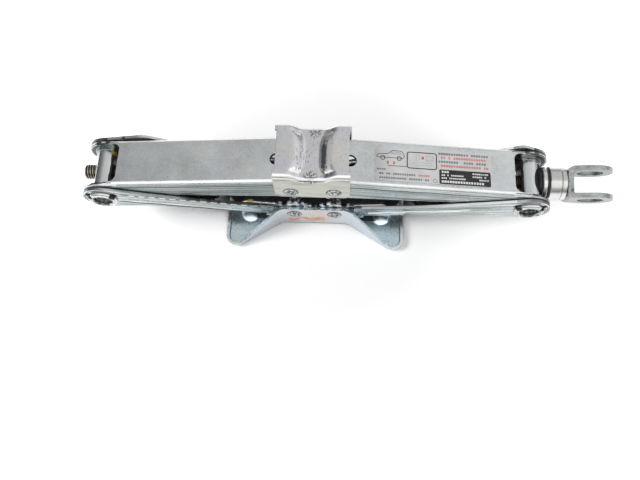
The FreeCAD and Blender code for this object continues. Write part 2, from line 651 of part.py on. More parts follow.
def trunnion(x, bore):
    """Cross bar between the ears: flatted barrel, journals, and cupped lips outside the ears."""
    z = TRUNNION_Z
    barrel = cylinder_y(x, z, BARREL_RADIUS, -BARREL_HALF_WIDTH, BARREL_HALF_WIDTH)
    barrel = barrel.fuse(cylinder_y(x, z, JOURNAL_RADIUS, -JOURNAL_HALF_WIDTH, JOURNAL_HALF_WIDTH))
    flat_half = BARREL_HALF_WIDTH - BARREL_SHOULDER
    for start in (x + BARREL_FLAT, x - BARREL_FLAT - BARREL_RADIUS):
        barrel = barrel.cut(Part.makeBox(BARREL_RADIUS, 2 * flat_half, 4 * BARREL_RADIUS,
                                         V(start, -flat_half, z - 2 * BARREL_RADIUS)))
    lip = cylinder_y(x, z, LIP_RADIUS, JOURNAL_HALF_WIDTH, TRUNNION_HALF_WIDTH)
    outer_rim = [e for e in lip.Edges
                 if hasattr(e.Curve, "Radius") and abs(e.CenterOfMass.y - TRUNNION_HALF_WIDTH) < 1e-3]
    lip = lip.makeFillet(LIP_THICKNESS * 0.7, outer_rim)
    for dimple_x, dimple_z in dimple_places(0):
        lip = lip.cut(cylinder_y(x + dimple_x, z + dimple_z, DIMPLE_RADIUS, 0, THROUGH))
    body = joined(barrel, lip, mirror_y(lip))
    mouth = CUP_MOUTH_RADIUS - CUP_RADIUS
    cup = Part.makeCylinder(CUP_RADIUS, CUP_DEPTH, V(x, TRUNNION_HALF_WIDTH - CUP_DEPTH, z), AXIS_Y)
    flare = Part.makeCone(CUP_RADIUS, CUP_MOUTH_RADIUS, mouth, V(x, TRUNNION_HALF_WIDTH - mouth, z), AXIS_Y)
    cutter = cup.fuse(flare)
    body = body.cut(cutter).cut(mirror_y(cutter))
    return body.cut(cylinder_x(bore, x - THROUGH / 2, x + THROUGH / 2)).removeSplitter()


def trunnion_washer(x, side):
    """Washer between the barrel's shoulder and the upper arm's ear."""
    start = BARREL_HALF_WIDTH + RUNNING_FIT
    disc = cylinder_y(x, TRUNNION_Z, WASHER_RADIUS, start, start + WASHER_THICKNESS)
    disc = disc.cut(cylinder_y(x, TRUNNION_Z, JOURNAL_RADIUS + RUNNING_FIT, 0, THROUGH))
    return disc if side > 0 else mirror_y(disc)


# ---------------------------------------------------------------- screw line
def lead_screw():
    """Screw from its free end beyond the nut to the peened end inside the clevis."""
    shank = cylinder_x(SCREW_RADIUS, -TRUNNION_X - SCREW_STUB, CLEVIS_X + CLEVIS_BASE)
    end_rim = [e for e in shank.Edges
               if hasattr(e.Curve, "Radius") and e.CenterOfMass.x < 0]
    shank = shank.makeChamfer(2 * EDGE_BREAK, end_rim)
    x = CLEVIS_X + CLEVIS_BASE
    ball = (PEEN_RADIUS ** 2 + PEEN_RISE ** 2) / (2 * PEEN_RISE)
    peen = Part.makeSphere(ball, V(x + PEEN_RISE - ball, 0, TRUNNION_Z))
    peen = peen.common(Part.makeBox(THROUGH, 4 * ball, 4 * ball, V(x, -2 * ball, TRUNNION_Z - 2 * ball)))
    return joined(shank, peen)


def ball_groove():
    """Round groove that both races carry for the balls."""
    return Part.makeTorus(BALL_PITCH_RADIUS, BALL_RADIUS + RUNNING_FIT, V(BALL_X, 0, TRUNNION_Z), AXIS_X)


def ball_centres():
    """Centres of the thrust balls."""
    for i in range(BALL_COUNT):
        angle = 2 * math.pi * i / BALL_COUNT
        yield V(BALL_X, BALL_PITCH_RADIUS * math.cos(angle), TRUNNION_Z + BALL_PITCH_RADIUS * math.sin(angle))


def ball_cage():
    """Thin ring that keeps the balls apart."""
    half = CAGE_THICKNESS / 2
    cage = ring_x(CAGE_RADIUS, SCREW_RADIUS + BORE_CLEARANCE, BALL_X - half, BALL_X + half)
    for centre in ball_centres():
        cage = cage.cut(Part.makeCylinder(BALL_RADIUS + RUNNING_FIT, THROUGH, centre - AXIS_X * THROUGH / 2, AXIS_X))
    return cage


def clevis():
    """Forked drive end that takes the cranking hook, bent from one thick strap."""
    outside = (CLEVIS_SPACING + CLEVIS_EAR) / 2
    inside = (CLEVIS_SPACING - CLEVIS_EAR) / 2
    hole_x = CLEVIS_REACH
    tip = hole_x + CLEVIS_EAR_RADIUS + 1
    strap = plan_prism([(0, -outside, CLEVIS_BEND), (tip, -outside, 0), (tip, outside, 0),
                        (0, outside, CLEVIS_BEND)], -THROUGH, THROUGH)
    gap = plan_prism([(CLEVIS_BASE, -inside, CLEVIS_BEND / 4), (tip + 1, -inside, 0), (tip + 1, inside, 0),
                      (CLEVIS_BASE, inside, CLEVIS_BEND / 4)], -THROUGH, THROUGH)
    reach = hole_x - CLEVIS_BASE
    height = CLEVIS_BASE_HALF_HEIGHT
    distance = math.hypot(reach, height)
    touch = math.atan2(height, -reach) - math.acos(CLEVIS_EAR_RADIUS / distance)
    touch_x = hole_x + CLEVIS_EAR_RADIUS * math.cos(touch)
    touch_z = CLEVIS_EAR_RADIUS * math.sin(touch)
    profile = side_prism([(0, -height, EDGE_BREAK), (CLEVIS_BASE, -height, 0), (touch_x, -touch_z, 0),
                          (hole_x, 0, 0), (touch_x, touch_z, 0), (CLEVIS_BASE, height, 0),
                          (0, height, EDGE_BREAK)], -outside - 1, outside + 1)
    profile = profile.fuse(cylinder_y(hole_x, 0, CLEVIS_EAR_RADIUS, -outside - 1, outside + 1))
    fork = strap.cut(gap).common(profile)
    fork = fork.cut(cylinder_y(hole_x, 0, CLEVIS_HOLE_RADIUS, -THROUGH, THROUGH))
    fork = fork.cut(Part.makeCylinder(SCREW_RADIUS, THROUGH, V(-THROUGH / 2, 0, 0), AXIS_X))
    fork.rotate(ORIGIN, AXIS_X, CLEVIS_TURN)
    fork.translate(V(CLEVIS_X, 0, TRUNNION_Z))
    return fork.removeSplitter()


# ---------------------------------------------------------------- all nodes
def build_nodes():
    """Every separate piece of the jack by its node name."""
    phase = TOOTH_PITCH / 4
    rises = {"left": [(LUG_FOOT, 0, 0), (LUG_SHOULDER_AT, LUG_SHOULDER, LUG_BLEND),
                      (LUG_PEAK_AT, LUG_PEAK, LUG_BLEND)],
             "right": [(CROWN_FOOT, 0, 0), (CROWN_AT, CROWN_PEAK, CROWN_BLEND)]}
    nodes = {"base_plate": base_plate(), "saddle": saddle()}
    for name, side in (("left", -1), ("right", 1)):
        nodes["lower_arm_" + name] = place_arm(lower_arm(rises[name]), side, BASE_PIN_Z, CLOSED_ANGLE)
        nodes["gear_bracket_" + name] = place_arm(gear_bracket(side * phase), side, BASE_PIN_Z, CLOSED_ANGLE)
        nodes["upper_arm_" + name] = place_arm(upper_arm(side * phase), side, SADDLE_PIN_Z, -CLOSED_ANGLE)
        nodes["base_pin_" + name] = rivet_pin(side * HALF_SPACING, BASE_PIN_Z)
        nodes["saddle_pin_" + name] = rivet_pin(side * HALF_SPACING, SADDLE_PIN_Z)
        for y_name, y_side in (("front", -1), ("rear", 1)):
            nodes["trunnion_washer_%s_%s" % (name, y_name)] = trunnion_washer(side * TRUNNION_X, y_side)
    nodes["nut_trunnion"] = trunnion(-TRUNNION_X, SCREW_RADIUS + RUNNING_FIT)
    nodes["bearing_trunnion"] = trunnion(TRUNNION_X, SCREW_RADIUS + BORE_CLEARANCE)
    nodes["label_plate"] = place_arm(label_plate(), 1, SADDLE_PIN_Z, -CLOSED_ANGLE)

    loose = SCREW_RADIUS + BORE_CLEARANCE
    nodes["lead_screw"] = lead_screw()
    nodes["thrust_seat"] = ring_x(SEAT_RADIUS, loose, SEAT_X, RACE_X, EDGE_BREAK)
    nodes["fixed_race"] = ring_x(RACE_RADIUS, loose, RACE_X, RACE_X + RACE_THICKNESS, EDGE_BREAK).cut(ball_groove())
    nodes["ball_cage"] = ball_cage()
    nodes["thrust_balls"] = Part.makeCompound([Part.makeSphere(BALL_RADIUS, c) for c in ball_centres()])
    nodes["bearing_cap"] = ring_x(CAP_RADIUS, SCREW_RADIUS, CAP_X, SPACER_X, EDGE_BREAK).cut(ball_groove())
    nodes["spacer_ring"] = ring_x(SPACER_RADIUS, SCREW_RADIUS, SPACER_X, CLEVIS_X, EDGE_BREAK)
    nodes["clevis"] = clevis()
    return nodes


os.makedirs("parts", exist_ok=True)
for node_name, shape in build_nodes().items():
    if len(shape.Solids) == 1:
        shape = shape.Solids[0]
    shape.exportStep(os.path.join("parts", node_name + ".step"))
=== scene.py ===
"""Visual model of a folded scissor jack.

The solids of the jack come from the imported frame.  This script gives every piece its finish,
replaces the plain saddle with a drawn one and the plain lead screw with a threaded one, prints the
sticker with plain bars and blocks, and sets up a pale studio with soft light and a camera.
"""

from __future__ import annotations

import json
import logging
import math
from dataclasses import dataclass
from enum import Enum
from typing import Sequence

import bmesh
import bpy
from mathutils import Matrix, Vector

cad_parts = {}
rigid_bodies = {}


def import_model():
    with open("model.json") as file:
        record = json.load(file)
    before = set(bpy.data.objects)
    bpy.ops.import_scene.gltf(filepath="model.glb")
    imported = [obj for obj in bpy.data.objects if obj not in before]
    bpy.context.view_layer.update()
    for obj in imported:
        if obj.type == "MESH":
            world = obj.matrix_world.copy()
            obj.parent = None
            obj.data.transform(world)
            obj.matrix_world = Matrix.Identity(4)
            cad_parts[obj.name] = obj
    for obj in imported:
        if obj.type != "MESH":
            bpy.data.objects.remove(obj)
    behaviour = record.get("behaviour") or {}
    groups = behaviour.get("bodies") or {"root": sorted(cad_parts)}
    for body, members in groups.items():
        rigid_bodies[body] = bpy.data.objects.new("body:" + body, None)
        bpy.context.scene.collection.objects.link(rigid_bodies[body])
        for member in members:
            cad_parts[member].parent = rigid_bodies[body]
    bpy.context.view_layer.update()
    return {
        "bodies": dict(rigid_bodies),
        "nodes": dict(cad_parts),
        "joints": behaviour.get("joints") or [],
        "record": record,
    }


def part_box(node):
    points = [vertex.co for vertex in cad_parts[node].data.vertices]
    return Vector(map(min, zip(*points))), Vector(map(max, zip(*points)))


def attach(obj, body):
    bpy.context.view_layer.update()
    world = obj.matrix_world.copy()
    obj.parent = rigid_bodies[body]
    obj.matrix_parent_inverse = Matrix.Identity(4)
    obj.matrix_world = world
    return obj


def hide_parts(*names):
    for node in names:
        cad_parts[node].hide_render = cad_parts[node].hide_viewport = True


LOG = logging.getLogger("jack")
MM = 0.001
Colour = tuple[float, float, float]
Point = tuple[float, float, float]
Pair = tuple[float, float]
Node = bpy.types.Node
Socket = bpy.types.NodeSocket
Tree = bpy.types.NodeTree
Material = bpy.types.Material
Mesh = bpy.types.Mesh
Piece = bpy.types.Object
Look = tuple[Socket, Socket, Socket]


class Body(Enum):
    """Moving bodies of the jack that added pieces ride on."""

    UPPER_RIGHT = "upper_right"
    HEAD = "head"
    SCREW = "screw"


class Side(Enum):
    """Left or right half of the jack, by the sign of X."""

    LEFT = -1
    RIGHT = 1


def metres(point: Sequence[float]) -> tuple[float, ...]:
    """Turn millimetres into metres."""
    return tuple(c * MM for c in point)


# ---- Node trees ----


class Graph:
    """Short way to add and link the nodes of one tree."""

    def __init__(self, tree: Tree) -> None:
        """Keep the tree that nodes are added to."""
        self.tree = tree

    def add(self, kind: str, **settings: object) -> Node:
        """Add a node and set its properties.

        Args:
            kind: Blender's identifier of the node type.
            settings: Properties of the node by name.

        Returns:
            The new node.
        """
        node = self.tree.nodes.new(kind)
        for name, value in settings.items():
            setattr(node, name, value)
        return node

    def put(self, target: Socket, value: object) -> None:
        """Link a socket, or set it where the value is plain.

        Args:
            target: The input socket.
            value: An output socket to link, a number, a colour or a vector.
        """
        if isinstance(value, Socket):
            self.tree.links.new(value, target)
        elif isinstance(value, (tuple, list, Vector)) and len(value) == 3 and target.type == "RGBA":
            target.default_value = (*value, 1.0)
        else:
            target.default_value = value

    def fill(self, node: Node, **values: object) -> Node:
        """Set a node's inputs by name.

        Args:
            node: The node.
            values: Inputs by name, with spaces written as underscores.

        Returns:
            The same node.
        """
        for name, value in values.items():
            self.put(node.inputs[name.replace("_", " ")], value)
        return node

    def math(self, operation: str, a: object, b: object = 0.0, clamp: bool = False) -> Socket:
        """Add a Math node.

        Args:
            operation: The Math node's operation.
            a: First value or socket.
            b: Second value or socket.
            clamp: Whether the result stays between 0 and 1.

        Returns:
            The node's value socket.
        """
        node = self.add("ShaderNodeMath", operation=operation, use_clamp=clamp)
        self.put(node.inputs[0], a)
        self.put(node.inputs[1], b)
        return node.outputs[0]

    def times(self, a: object, b: object, clamp: bool = False) -> Socket:
        """Multiply two numbers."""
        return self.math("MULTIPLY", a, b, clamp)

    def vector(self, operation: str, a: object, b: object = (0.0, 0.0, 0.0)) -> Socket:
        """Add a Vector Math node that gives a vector.

        Args:
            operation: The node's operation.
            a: First vector or socket.
            b: Second vector or socket.

        Returns:
            The vector's socket.
        """
        node = self.add("ShaderNodeVectorMath", operation=operation)
        self.put(node.inputs[0], a)
        self.put(node.inputs[1], b)
        return node.outputs[0]

    def scaled(self, vector: object, factor: object) -> Socket:
        """Scale a vector or a colour by one number."""
        return self.fill(self.vector("SCALE", vector).node, Scale=factor).outputs["Vector"]

    def dot(self, a: Socket, b: Socket) -> Socket:
        """Give the dot product of two vectors."""
        return self.vector("DOT_PRODUCT", a, b).node.outputs["Value"]

    def length(self, vector: Socket) -> Socket:
        """Give the length of a vector."""
        return self.vector("LENGTH", vector).node.outputs["Value"]

    def split(self, vector: Socket) -> Sequence[Socket]:
        """Give the X, Y and Z of a vector."""
        return self.fill(self.add("ShaderNodeSeparateXYZ"), Vector=vector).outputs

    def join(self, x: object, y: object = 0.0, z: object = 0.0) -> Socket:
        """Make a vector of three numbers."""
        return self.fill(self.add("ShaderNodeCombineXYZ"), X=x, Y=y, Z=z).outputs[0]

    def apart(self, a: Socket, b: object) -> Socket:
        """Give how far apart two numbers are."""
        return self.math("ABSOLUTE", self.math("SUBTRACT", a, b))

    def turned(self, at: Socket, turn: Point) -> Socket:
        """Turn coordinates about the origin."""
        node = self.add("ShaderNodeMapping", vector_type="POINT")
        return self.fill(node, Vector=at, Rotation=tuple(math.radians(a) for a in turn)).outputs[0]

    def span(self, value: object, low: float, high: float, to_low: float = 0.0, to_high: float = 1.0,
             smooth: bool = False) -> Socket:
        """Map one range of a value to another and clamp it.

        Args:
            value: Value or socket to map.
            low: Start of the range.
            high: End of the range.
            to_low: Result at the start.
            to_high: Result at the end.
            smooth: Whether the step between the two is eased.

        Returns:
            The mapped value's socket.
        """
        kind = "SMOOTHSTEP" if smooth else "LINEAR"
        node = self.add("ShaderNodeMapRange", interpolation_type=kind, clamp=True)
        for socket, part in zip(node.inputs, (value, low, high, to_low, to_high)):
            self.put(socket, part)
        return node.outputs[0]

    def within(self, value: Socket, low: object, high: object) -> Socket:
        """Give 1 where a value lies between two others, and 0 elsewhere."""
        return self.times(self.math("GREATER_THAN", value, low), self.math("LESS_THAN", value, high))

    def blend(self, factor: object, a: object, b: object, mode: str = "MIX") -> Socket:
        """Mix two colours.

        Args:
            factor: Share of the second colour.
            a: First colour or socket.
            b: Second colour or socket.
            mode: Blend mode.

        Returns:
            The mixed colour's socket.
        """
        node = self.add("ShaderNodeMix", data_type="RGBA", blend_type=mode, clamp_factor=True)
        for socket, part in ((node.inputs["Factor"], factor), (node.inputs[6], a), (node.inputs[7], b)):
            self.put(socket, part)
        return node.outputs[2]

    def toward(self, mask: Socket, value: object, goal: object) -> Socket:
        """Move a value towards a goal by a mask.

        Args:
            mask: How far to move, from 0 to 1.
            value: Where the value is.
            goal: Where it goes.

        Returns:
            The moved value's socket.
        """
        node = self.add("ShaderNodeMix", data_type="FLOAT")
        for socket, part in ((node.inputs[0], mask), (node.inputs[2], value), (node.inputs[3], goal)):
            self.put(socket, part)
        return node.outputs[0]

    def ramp(self, value: Socket, stops: Sequence[tuple[float, Colour]]) -> Socket:
        """Colour a value by a ramp.

        Args:
            value: Value between 0 and 1.
            stops: Place and colour of each stop, in order.

        Returns:
            The colour's socket.
        """
        node = self.add("ShaderNodeValToRGB")
        ends = node.color_ramp.elements
        for end, (place, colour) in zip(ends, (stops[0], stops[-1])):
            end.position = place
            end.color = (*colour, 1.0)
        for place, colour in stops[1:-1]:
            ends.new(place).color = (*colour, 1.0)
        self.put(node.inputs[0], value)
        return node.outputs[0]

    def noise(self, at: object, scale: float, detail: float = 3.0, rough: float = 0.55) -> Socket:
        """Add a noise texture and give its value."""
        return self.fill(self.add("ShaderNodeTexNoise", noise_dimensions="3D"), Vector=at, Scale=scale,
                         Detail=detail, Roughness=rough).outputs[0]

    def bump(self, height: Socket, distance: float, **normal: Socket) -> Socket:
        """Turn a height into a normal."""
        return self.fill(self.add("ShaderNodeBump"), Strength=1.0, Distance=distance, Height=height,
                         **normal).outputs[0]

    def call(self, group: Tree, **values: object) -> Node:
        """Add a shared group and set its named inputs."""
        return self.fill(self.add("ShaderNodeGroup", node_tree=group), **values)


KINDS = {"Color": "NodeSocketColor", "Geometry": "NodeSocketGeometry", "Material": "NodeSocketMaterial",
         "Normal": "NodeSocketVector", type(None): "NodeSocketVector", int: "NodeSocketInt",
         float: "NodeSocketFloat"}


class NodeGroup(Graph):
    """Graph of a node group with named sockets, made once and reused."""

    def __init__(self, name: str, inputs: dict[str, object], outputs: Sequence[str] = ("Mask",),
                 kind: str = "ShaderNodeTree") -> None:
        """Make an empty group.

        Args:
            name: Name of the group.
            inputs: Default of each number by its name, and None for a vector.
            outputs: Name of each output.  All but Color, Normal and Geometry are numbers.
            kind: Blender's identifier of the tree type.
        """
        super().__init__(bpy.data.node_groups.new(name, kind))
        for label, default in inputs.items():
            socket = self._socket("INPUT", label, default)
            if default is not None:
                socket.default_value = default
        for label in outputs:
            self._socket("OUTPUT", label, 0.0)
        self.source = self.add("NodeGroupInput")
        self.result = self.add("NodeGroupOutput")

    def _socket(self, way: str, label: str, default: object) -> bpy.types.NodeTreeInterfaceSocket:
        """Add a socket to the group, of a kind that its name or its default tells."""
        kind = KINDS.get(label) or KINDS[type(default)]
        return self.tree.interface.new_socket(name=label.replace("_", " "), in_out=way, socket_type=kind)

    def given(self) -> Sequence[Socket]:
        """Give the inputs of the group in their order."""
        return self.source.outputs[:-1]

    def give(self, name: str, value: Socket) -> None:
        """Send a value to an output of the group."""
        self.put(self.result.inputs[name], value)


NOISE_LOW, NOISE_HIGH = 0.3, 0.7
SCRATCH_STRETCH: Point = (18.0, 900.0, 900.0)
SCRATCH_SWAY = 0.002
LINE_FADE, RING_FADE = 0.006, 0.007
# Scales of the painted reflection bands.
WIDE_REFLECTION_STREAKS: Point = (7.0, 60.0, 420.0)
FINE_REFLECTION_STREAKS: Point = (30.0, 90.0, 1500.0)
LINE_WAVER: Point = (60.0, 30.0, 0.0)
ZINC_TINTS: tuple[tuple[float, Colour], ...] = (
    (0.25, (1.0, 0.84, 0.93)), (0.4, (1.0, 0.96, 0.80)), (0.5, (0.90, 1.0, 0.92)),
    (0.6, (0.82, 0.93, 1.0)), (0.75, (1.0, 0.85, 0.95)))


class SurfaceEffects:
    """The effects that the jack's finishes share.  Each method below makes one group and gives its tree."""

    def __init__(self) -> None:
        """Make every shared group."""
        self.clouds = self._clouds()
        self.scratches = self._scratches()
        self.specks = self._specks()
        self.grime_and_shade = self._grime_and_shade()
        self.edges = self._edges()
        self.film = self._film()
        self.spot = self._spot()
        self.dents = self._dents()
        self.streaks = self._reflection_streaks()
        self.zone = self._zone()
        self.line = self._line()
        self.blotches = self._blotches()
        self.bends = self._bend_highlights()
        self.ring = self._ring()

    @staticmethod
    def _clouds() -> Tree:
        """Soft uneven brightness of plated sheet, in large and small patches.

        Returns:
            The group's tree.
        """
        g = NodeGroup("Plating clouds", dict(Vector=None, Patch=60.0), ["Large", "Small"])
        at, patch = g.given()
        scaled = g.scaled(at, patch)
        large = g.noise(scaled, scale=1.0, detail=4.0, rough=0.6)
        small = g.noise(scaled, scale=9.0, detail=3.0, rough=0.6)
        g.give("Large", g.span(large, NOISE_LOW, NOISE_HIGH))
        g.give("Small", g.span(small, NOISE_LOW, NOISE_HIGH))
        return g.tree

    @staticmethod
    def _scratches() -> Tree:
        """Thin scratches that run along the vector's X, and the grain between them.

        Returns:
            The group's tree.
        """
        g = NodeGroup("Fine scratches", dict(Vector=None, Share=0.3), ["Mask", "Grain"])
        at, share = g.given()
        sway = g.fill(g.add("ShaderNodeTexNoise"), Vector=at, Scale=30.0)
        bent = g.vector("ADD", at, g.scaled(sway.outputs["Color"], SCRATCH_SWAY))
        lines = g.noise(g.vector("MULTIPLY", bent, SCRATCH_STRETCH), scale=1.0, detail=2.0, rough=0.5)
        least = g.math("SUBTRACT", 0.78, g.times(share, 0.3))
        g.give("Mask", g.times(g.math("SUBTRACT", lines, least), 14.0, clamp=True))
        g.give("Grain", lines)
        return g.tree

    @staticmethod
    def _specks() -> Tree:
        """Scattered tiny round specks, crowded in some places and rare in others.

        Returns:
            The group's tree.
        """
        g = NodeGroup("Small specks", dict(Vector=None, Per_metre=400.0, Share=0.2, Size=0.25))
        at, per_metre, share, size = g.given()
        cells = g.fill(g.add("ShaderNodeTexVoronoi", feature="F1"), Vector=at, Scale=per_metre)
        draw = g.fill(g.add("ShaderNodeSeparateColor"), Color=cells.outputs["Color"])
        crowd = g.span(g.noise(at, 28.0, 2.0), 0.4, 0.66, to_low=0.2, to_high=2.6)
        chosen = g.math("LESS_THAN", draw.outputs[0], g.times(share, crowd))
        size = g.times(size, draw.outputs[1])
        inside = g.math("SUBTRACT", 1.0, g.math("DIVIDE", cells.outputs["Distance"], size), clamp=True)
        g.give("Mask", g.times(g.times(inside, 2.5, clamp=True), chosen))
        return g.tree

    @staticmethod
    def _grime_and_shade() -> Tree:
        """Soiling and painted shade in corners and inside folds, darker where ambient occlusion finds the
        surface hidden.

        Returns:
            The group's tree.
        """
        g = NodeGroup("Corner grime", dict(Vector=None, Reach=0.012, Strength=0.7))
        at, reach, strength = g.given()
        hidden = g.fill(g.add("ShaderNodeAmbientOcclusion", samples=6), Distance=reach)
        closed = g.math("SUBTRACT", 1.0, hidden.outputs["AO"])
        uneven = g.span(g.noise(at, 260.0, 4.0), 0.25, 0.7, to_low=0.6, to_high=1.3)
        mask = g.span(g.times(closed, uneven), 0.25, 0.85, smooth=True)
        g.give("Mask", g.times(mask, strength, clamp=True))
        return g.tree

    @staticmethod
    def _edges() -> Tree:
        """Rounded normal at sharp edges, and a mask of the edges for wear and for a painted highlight.

        Returns:
            The group's tree.
        """
        g = NodeGroup("Soft edges", dict(Vector=None, Radius=0.0004), ["Mask", "Normal"])
        at, radius = g.given()
        bevel = g.fill(g.add("ShaderNodeBevel", samples=4), Radius=radius)
        plain = g.add("ShaderNodeNewGeometry").outputs["Normal"]
        agree = g.dot(bevel.outputs["Normal"], plain)
        broken = g.span(g.noise(at, 500.0, 3.0), 0.35, 0.6)
        g.give("Mask", g.times(g.span(agree, 0.995, 0.85), broken))
        g.give("Normal", bevel.outputs["Normal"])
        return g.tree

    @staticmethod
    def _film() -> Tree:
        """Faint rainbow tint of passivated zinc.

        Returns:
            The group's tree.
        """
        g = NodeGroup("Passivation tint", dict(Vector=None, Patch=50.0), ["Color"])
        at, patch = g.given()
        g.give("Color", g.ramp(g.noise(g.scaled(at, patch), scale=1.0, detail=3.0, rough=0.5), ZINC_TINTS))
        return g.tree

    @staticmethod
    def _spot() -> Tree:
        """One ragged round mark, for a stain, painted shade or a painted highlight.

        Returns:
            The group's tree.
        """
        g = NodeGroup("Ragged stain", dict(Vector=None, Centre=None, Stretch=None, Radius=0.003))
        at, centre, stretch, radius = g.given()
        away = g.vector("SUBTRACT", at, centre)
        far = g.length(g.vector("DIVIDE", away, stretch))
        uneven = g.noise(at, scale=420.0, detail=4.0, rough=0.7)
        wobble = g.span(uneven, 0.2, 0.8, to_low=0.45, to_high=1.5)
        share = g.math("DIVIDE", g.times(far, wobble), radius)
        g.give("Mask", g.span(share, 1.15, 0.75, smooth=True))
        return g.tree

    @staticmethod
    def _dents() -> Tree:
        """Height of shallow hammer marks and general unevenness.

        Returns:
            The group's tree.
        """
        g = NodeGroup("Shallow dents", dict(Vector=None, Per_metre=120.0), ["Height"])
        at, per_metre = g.given()
        g.give("Height", g.noise(g.scaled(at, per_metre), scale=1.0, detail=2.0, rough=0.5))
        return g.tree

    @staticmethod
    def _reflection_streaks() -> Tree:
        """Painted reflections: long light and dark bands along X, on faces that look along Y.

        Returns:
            The group's tree.
        """
        g = NodeGroup("Long streaks", dict(Vector=None, Normal=None), ["Shade", "Face"])
        at, facing = g.given()
        wide = g.noise(g.vector("MULTIPLY", at, WIDE_REFLECTION_STREAKS), 1.0, detail=4.0, rough=0.65)
        fine = g.noise(g.vector("MULTIPLY", at, FINE_REFLECTION_STREAKS), 1.0, detail=2.0, rough=0.5)
        both = g.math("ADD", g.times(wide, 0.75), g.times(fine, 0.25))
        g.give("Shade", g.span(both, 0.38, 0.62))
        sideways = g.math("ABSOLUTE", g.split(facing)[1])
        g.give("Face", g.span(sideways, 0.75, 0.97, smooth=True))
        return g.tree

    @staticmethod
    def _zone() -> Tree:
        """Faces between two distances from the middle plane that look up (Facing 1) or down (Facing -1).

        Returns:
            The group's tree.
        """
        g = NodeGroup("Zone of faces", dict(Vector=None, Normal=None, From=0.0, To=0.017, Beyond=0.0,
                                            Reach=0.2, Facing=1.0, Tilt=-0.3, Ragged=0.004))
        at, facing, start, end, beyond, reach, way, tilt, swing_size = g.given()
        x, y, _ = g.split(at)
        upward = g.split(facing)[2]
        between = g.within(g.math("ABSOLUTE", y), start, end)
        swing = g.span(g.noise(at, 90.0, 3.0), NOISE_LOW, NOISE_HIGH, -1.0, 1.0)
        ragged = g.math("ADD", g.math("ABSOLUTE", x), g.times(swing, swing_size))
        near = g.within(ragged, beyond, reach)
        turned = g.math("GREATER_THAN", g.times(upward, way), tilt)
        g.give("Mask", g.times(g.times(between, near), turned))
        return g.tree

    @staticmethod
    def _line() -> Tree:
        """Line along X at a given height, whole or broken into dashes.

        Returns:
            The group's tree.
        """
        g = NodeGroup("Line along the arm", dict(Vector=None, Height=0.0, Width=0.0006, Step=0.0068, Fill=1.3,
                                                 From=0.04, To=0.14))
        at, height, width, step, filled, start, end = g.given()
        x, _, z = g.split(at)
        waver = g.noise(g.vector("MULTIPLY", at, LINE_WAVER), 1.0, 3.0)
        sway = g.times(g.span(waver, NOISE_LOW, NOISE_HIGH, -0.45, 0.45), width)
        off = g.math("ABSOLUTE", g.math("ADD", g.math("SUBTRACT", z, height), sway))
        line = g.span(g.math("DIVIDE", off, width), 1.0, 0.45, smooth=True)
        phase = g.math("FRACT", g.math("ADD", g.math("DIVIDE", x, step), 100.0))
        centred = g.times(g.apart(phase, 0.5), 2.0)
        dash = g.span(g.math("SUBTRACT", centred, filled), 0.12, -0.12, smooth=True)
        begun, ended = (g.span(g.math("SUBTRACT", far, near), 0.0, LINE_FADE, smooth=True)
                        for far, near in ((x, start), (end, x)))
        g.give("Mask", g.times(g.times(line, dash), g.times(begun, ended)))
        return g.tree

    @staticmethod
    def _bend_highlights() -> Tree:
        """The upper half of bends along X, where a highlight is painted.

        Returns:
            The group's tree.
        """
        g = NodeGroup("Burnished bends", dict(Normal=None))
        (facing,) = g.given()
        _, y, z = g.split(facing)
        side = g.math("ABSOLUTE", y)
        turned = g.times(g.span(side, 0.28, 0.42, smooth=True), g.span(side, 0.82, 0.68, smooth=True))
        g.give("Mask", g.times(turned, g.span(z, 0.2, 0.4)))
        return g.tree

    @staticmethod
    def _ring() -> Tree:
        """Ring about an axis along Y, drawn only on the side away from the jack's middle.

        Returns:
            The group's tree.
        """
        g = NodeGroup("Ring about an axis", dict(Vector=None, Centre=None, Radius=0.01, Width=0.0005))
        at, centre, radius, width = g.given()
        far = g.length(g.vector("MULTIPLY", g.vector("SUBTRACT", at, centre), (1.0, 0.0, 1.0)))
        ring = g.span(g.math("DIVIDE", g.apart(far, radius), width), 1.0, 0.5, smooth=True)
        out, axis = (g.math("ABSOLUTE", g.split(place)[0]) for place in (at, centre))
        outside = g.span(g.math("SUBTRACT", out, axis), -RING_FADE, 0.0, smooth=True)
        g.give("Mask", g.times(ring, outside))
        return g.tree

    @staticmethod
    def _blotches() -> Tree:
        """Hard-edged uneven patches, as on hammered or smeared plating.

        Returns:
            The group's tree.
        """
        g = NodeGroup("Blotches", dict(Vector=None, Per_metre=400.0, Cover=0.4))
        at, per_metre, cover = g.given()
        scaled = g.scaled(at, per_metre)
        value = g.noise(scaled, scale=1.0, detail=3.0, rough=0.6)
        edge = g.math("SUBTRACT", 0.7, g.times(cover, 0.4))
        g.give("Mask", g.span(g.math("SUBTRACT", value, edge), -0.02, 0.03, smooth=True))
        return g.tree


# ---- Finishes ----

LARGE_CLOUDS, SMALL_CLOUDS = 0.65, 0.35
FILM_PATCH = 1.3
SCRATCH_SHADE = 0.35
# Colour of edges lightened by wear and by a painted highlight.
WORN_EDGE_HIGHLIGHT: Colour = (0.9, 0.9, 0.9)
DENT_SCALE, GRAIN_SCALE = 2.0, 0.06
PLATING_RELIEF, COAT_RELIEF = 0.0004, 0.0003


def plain_material(name: str) -> tuple[Material, Graph, Node]:
    """Make a material with one principled shader.

    Args:
        name: Name of the material.

    Returns:
        The material, its graph and its shader node.
    """
    material = bpy.data.materials.new(name)
    material.use_nodes = True
    return material, Graph(material.node_tree), material.node_tree.nodes["Principled BSDF"]


@dataclass(frozen=True)
class Surface:
    """What a finish is worked out on: its graph, the shared groups, and coordinates of the piece.

    `at` is the piece's own space, `along` the same turned to the finish's grain, and `facing` the
    way the surface looks.
    """

    g: Graph
    effects: SurfaceEffects
    at: Socket
    along: Socket
    facing: Socket


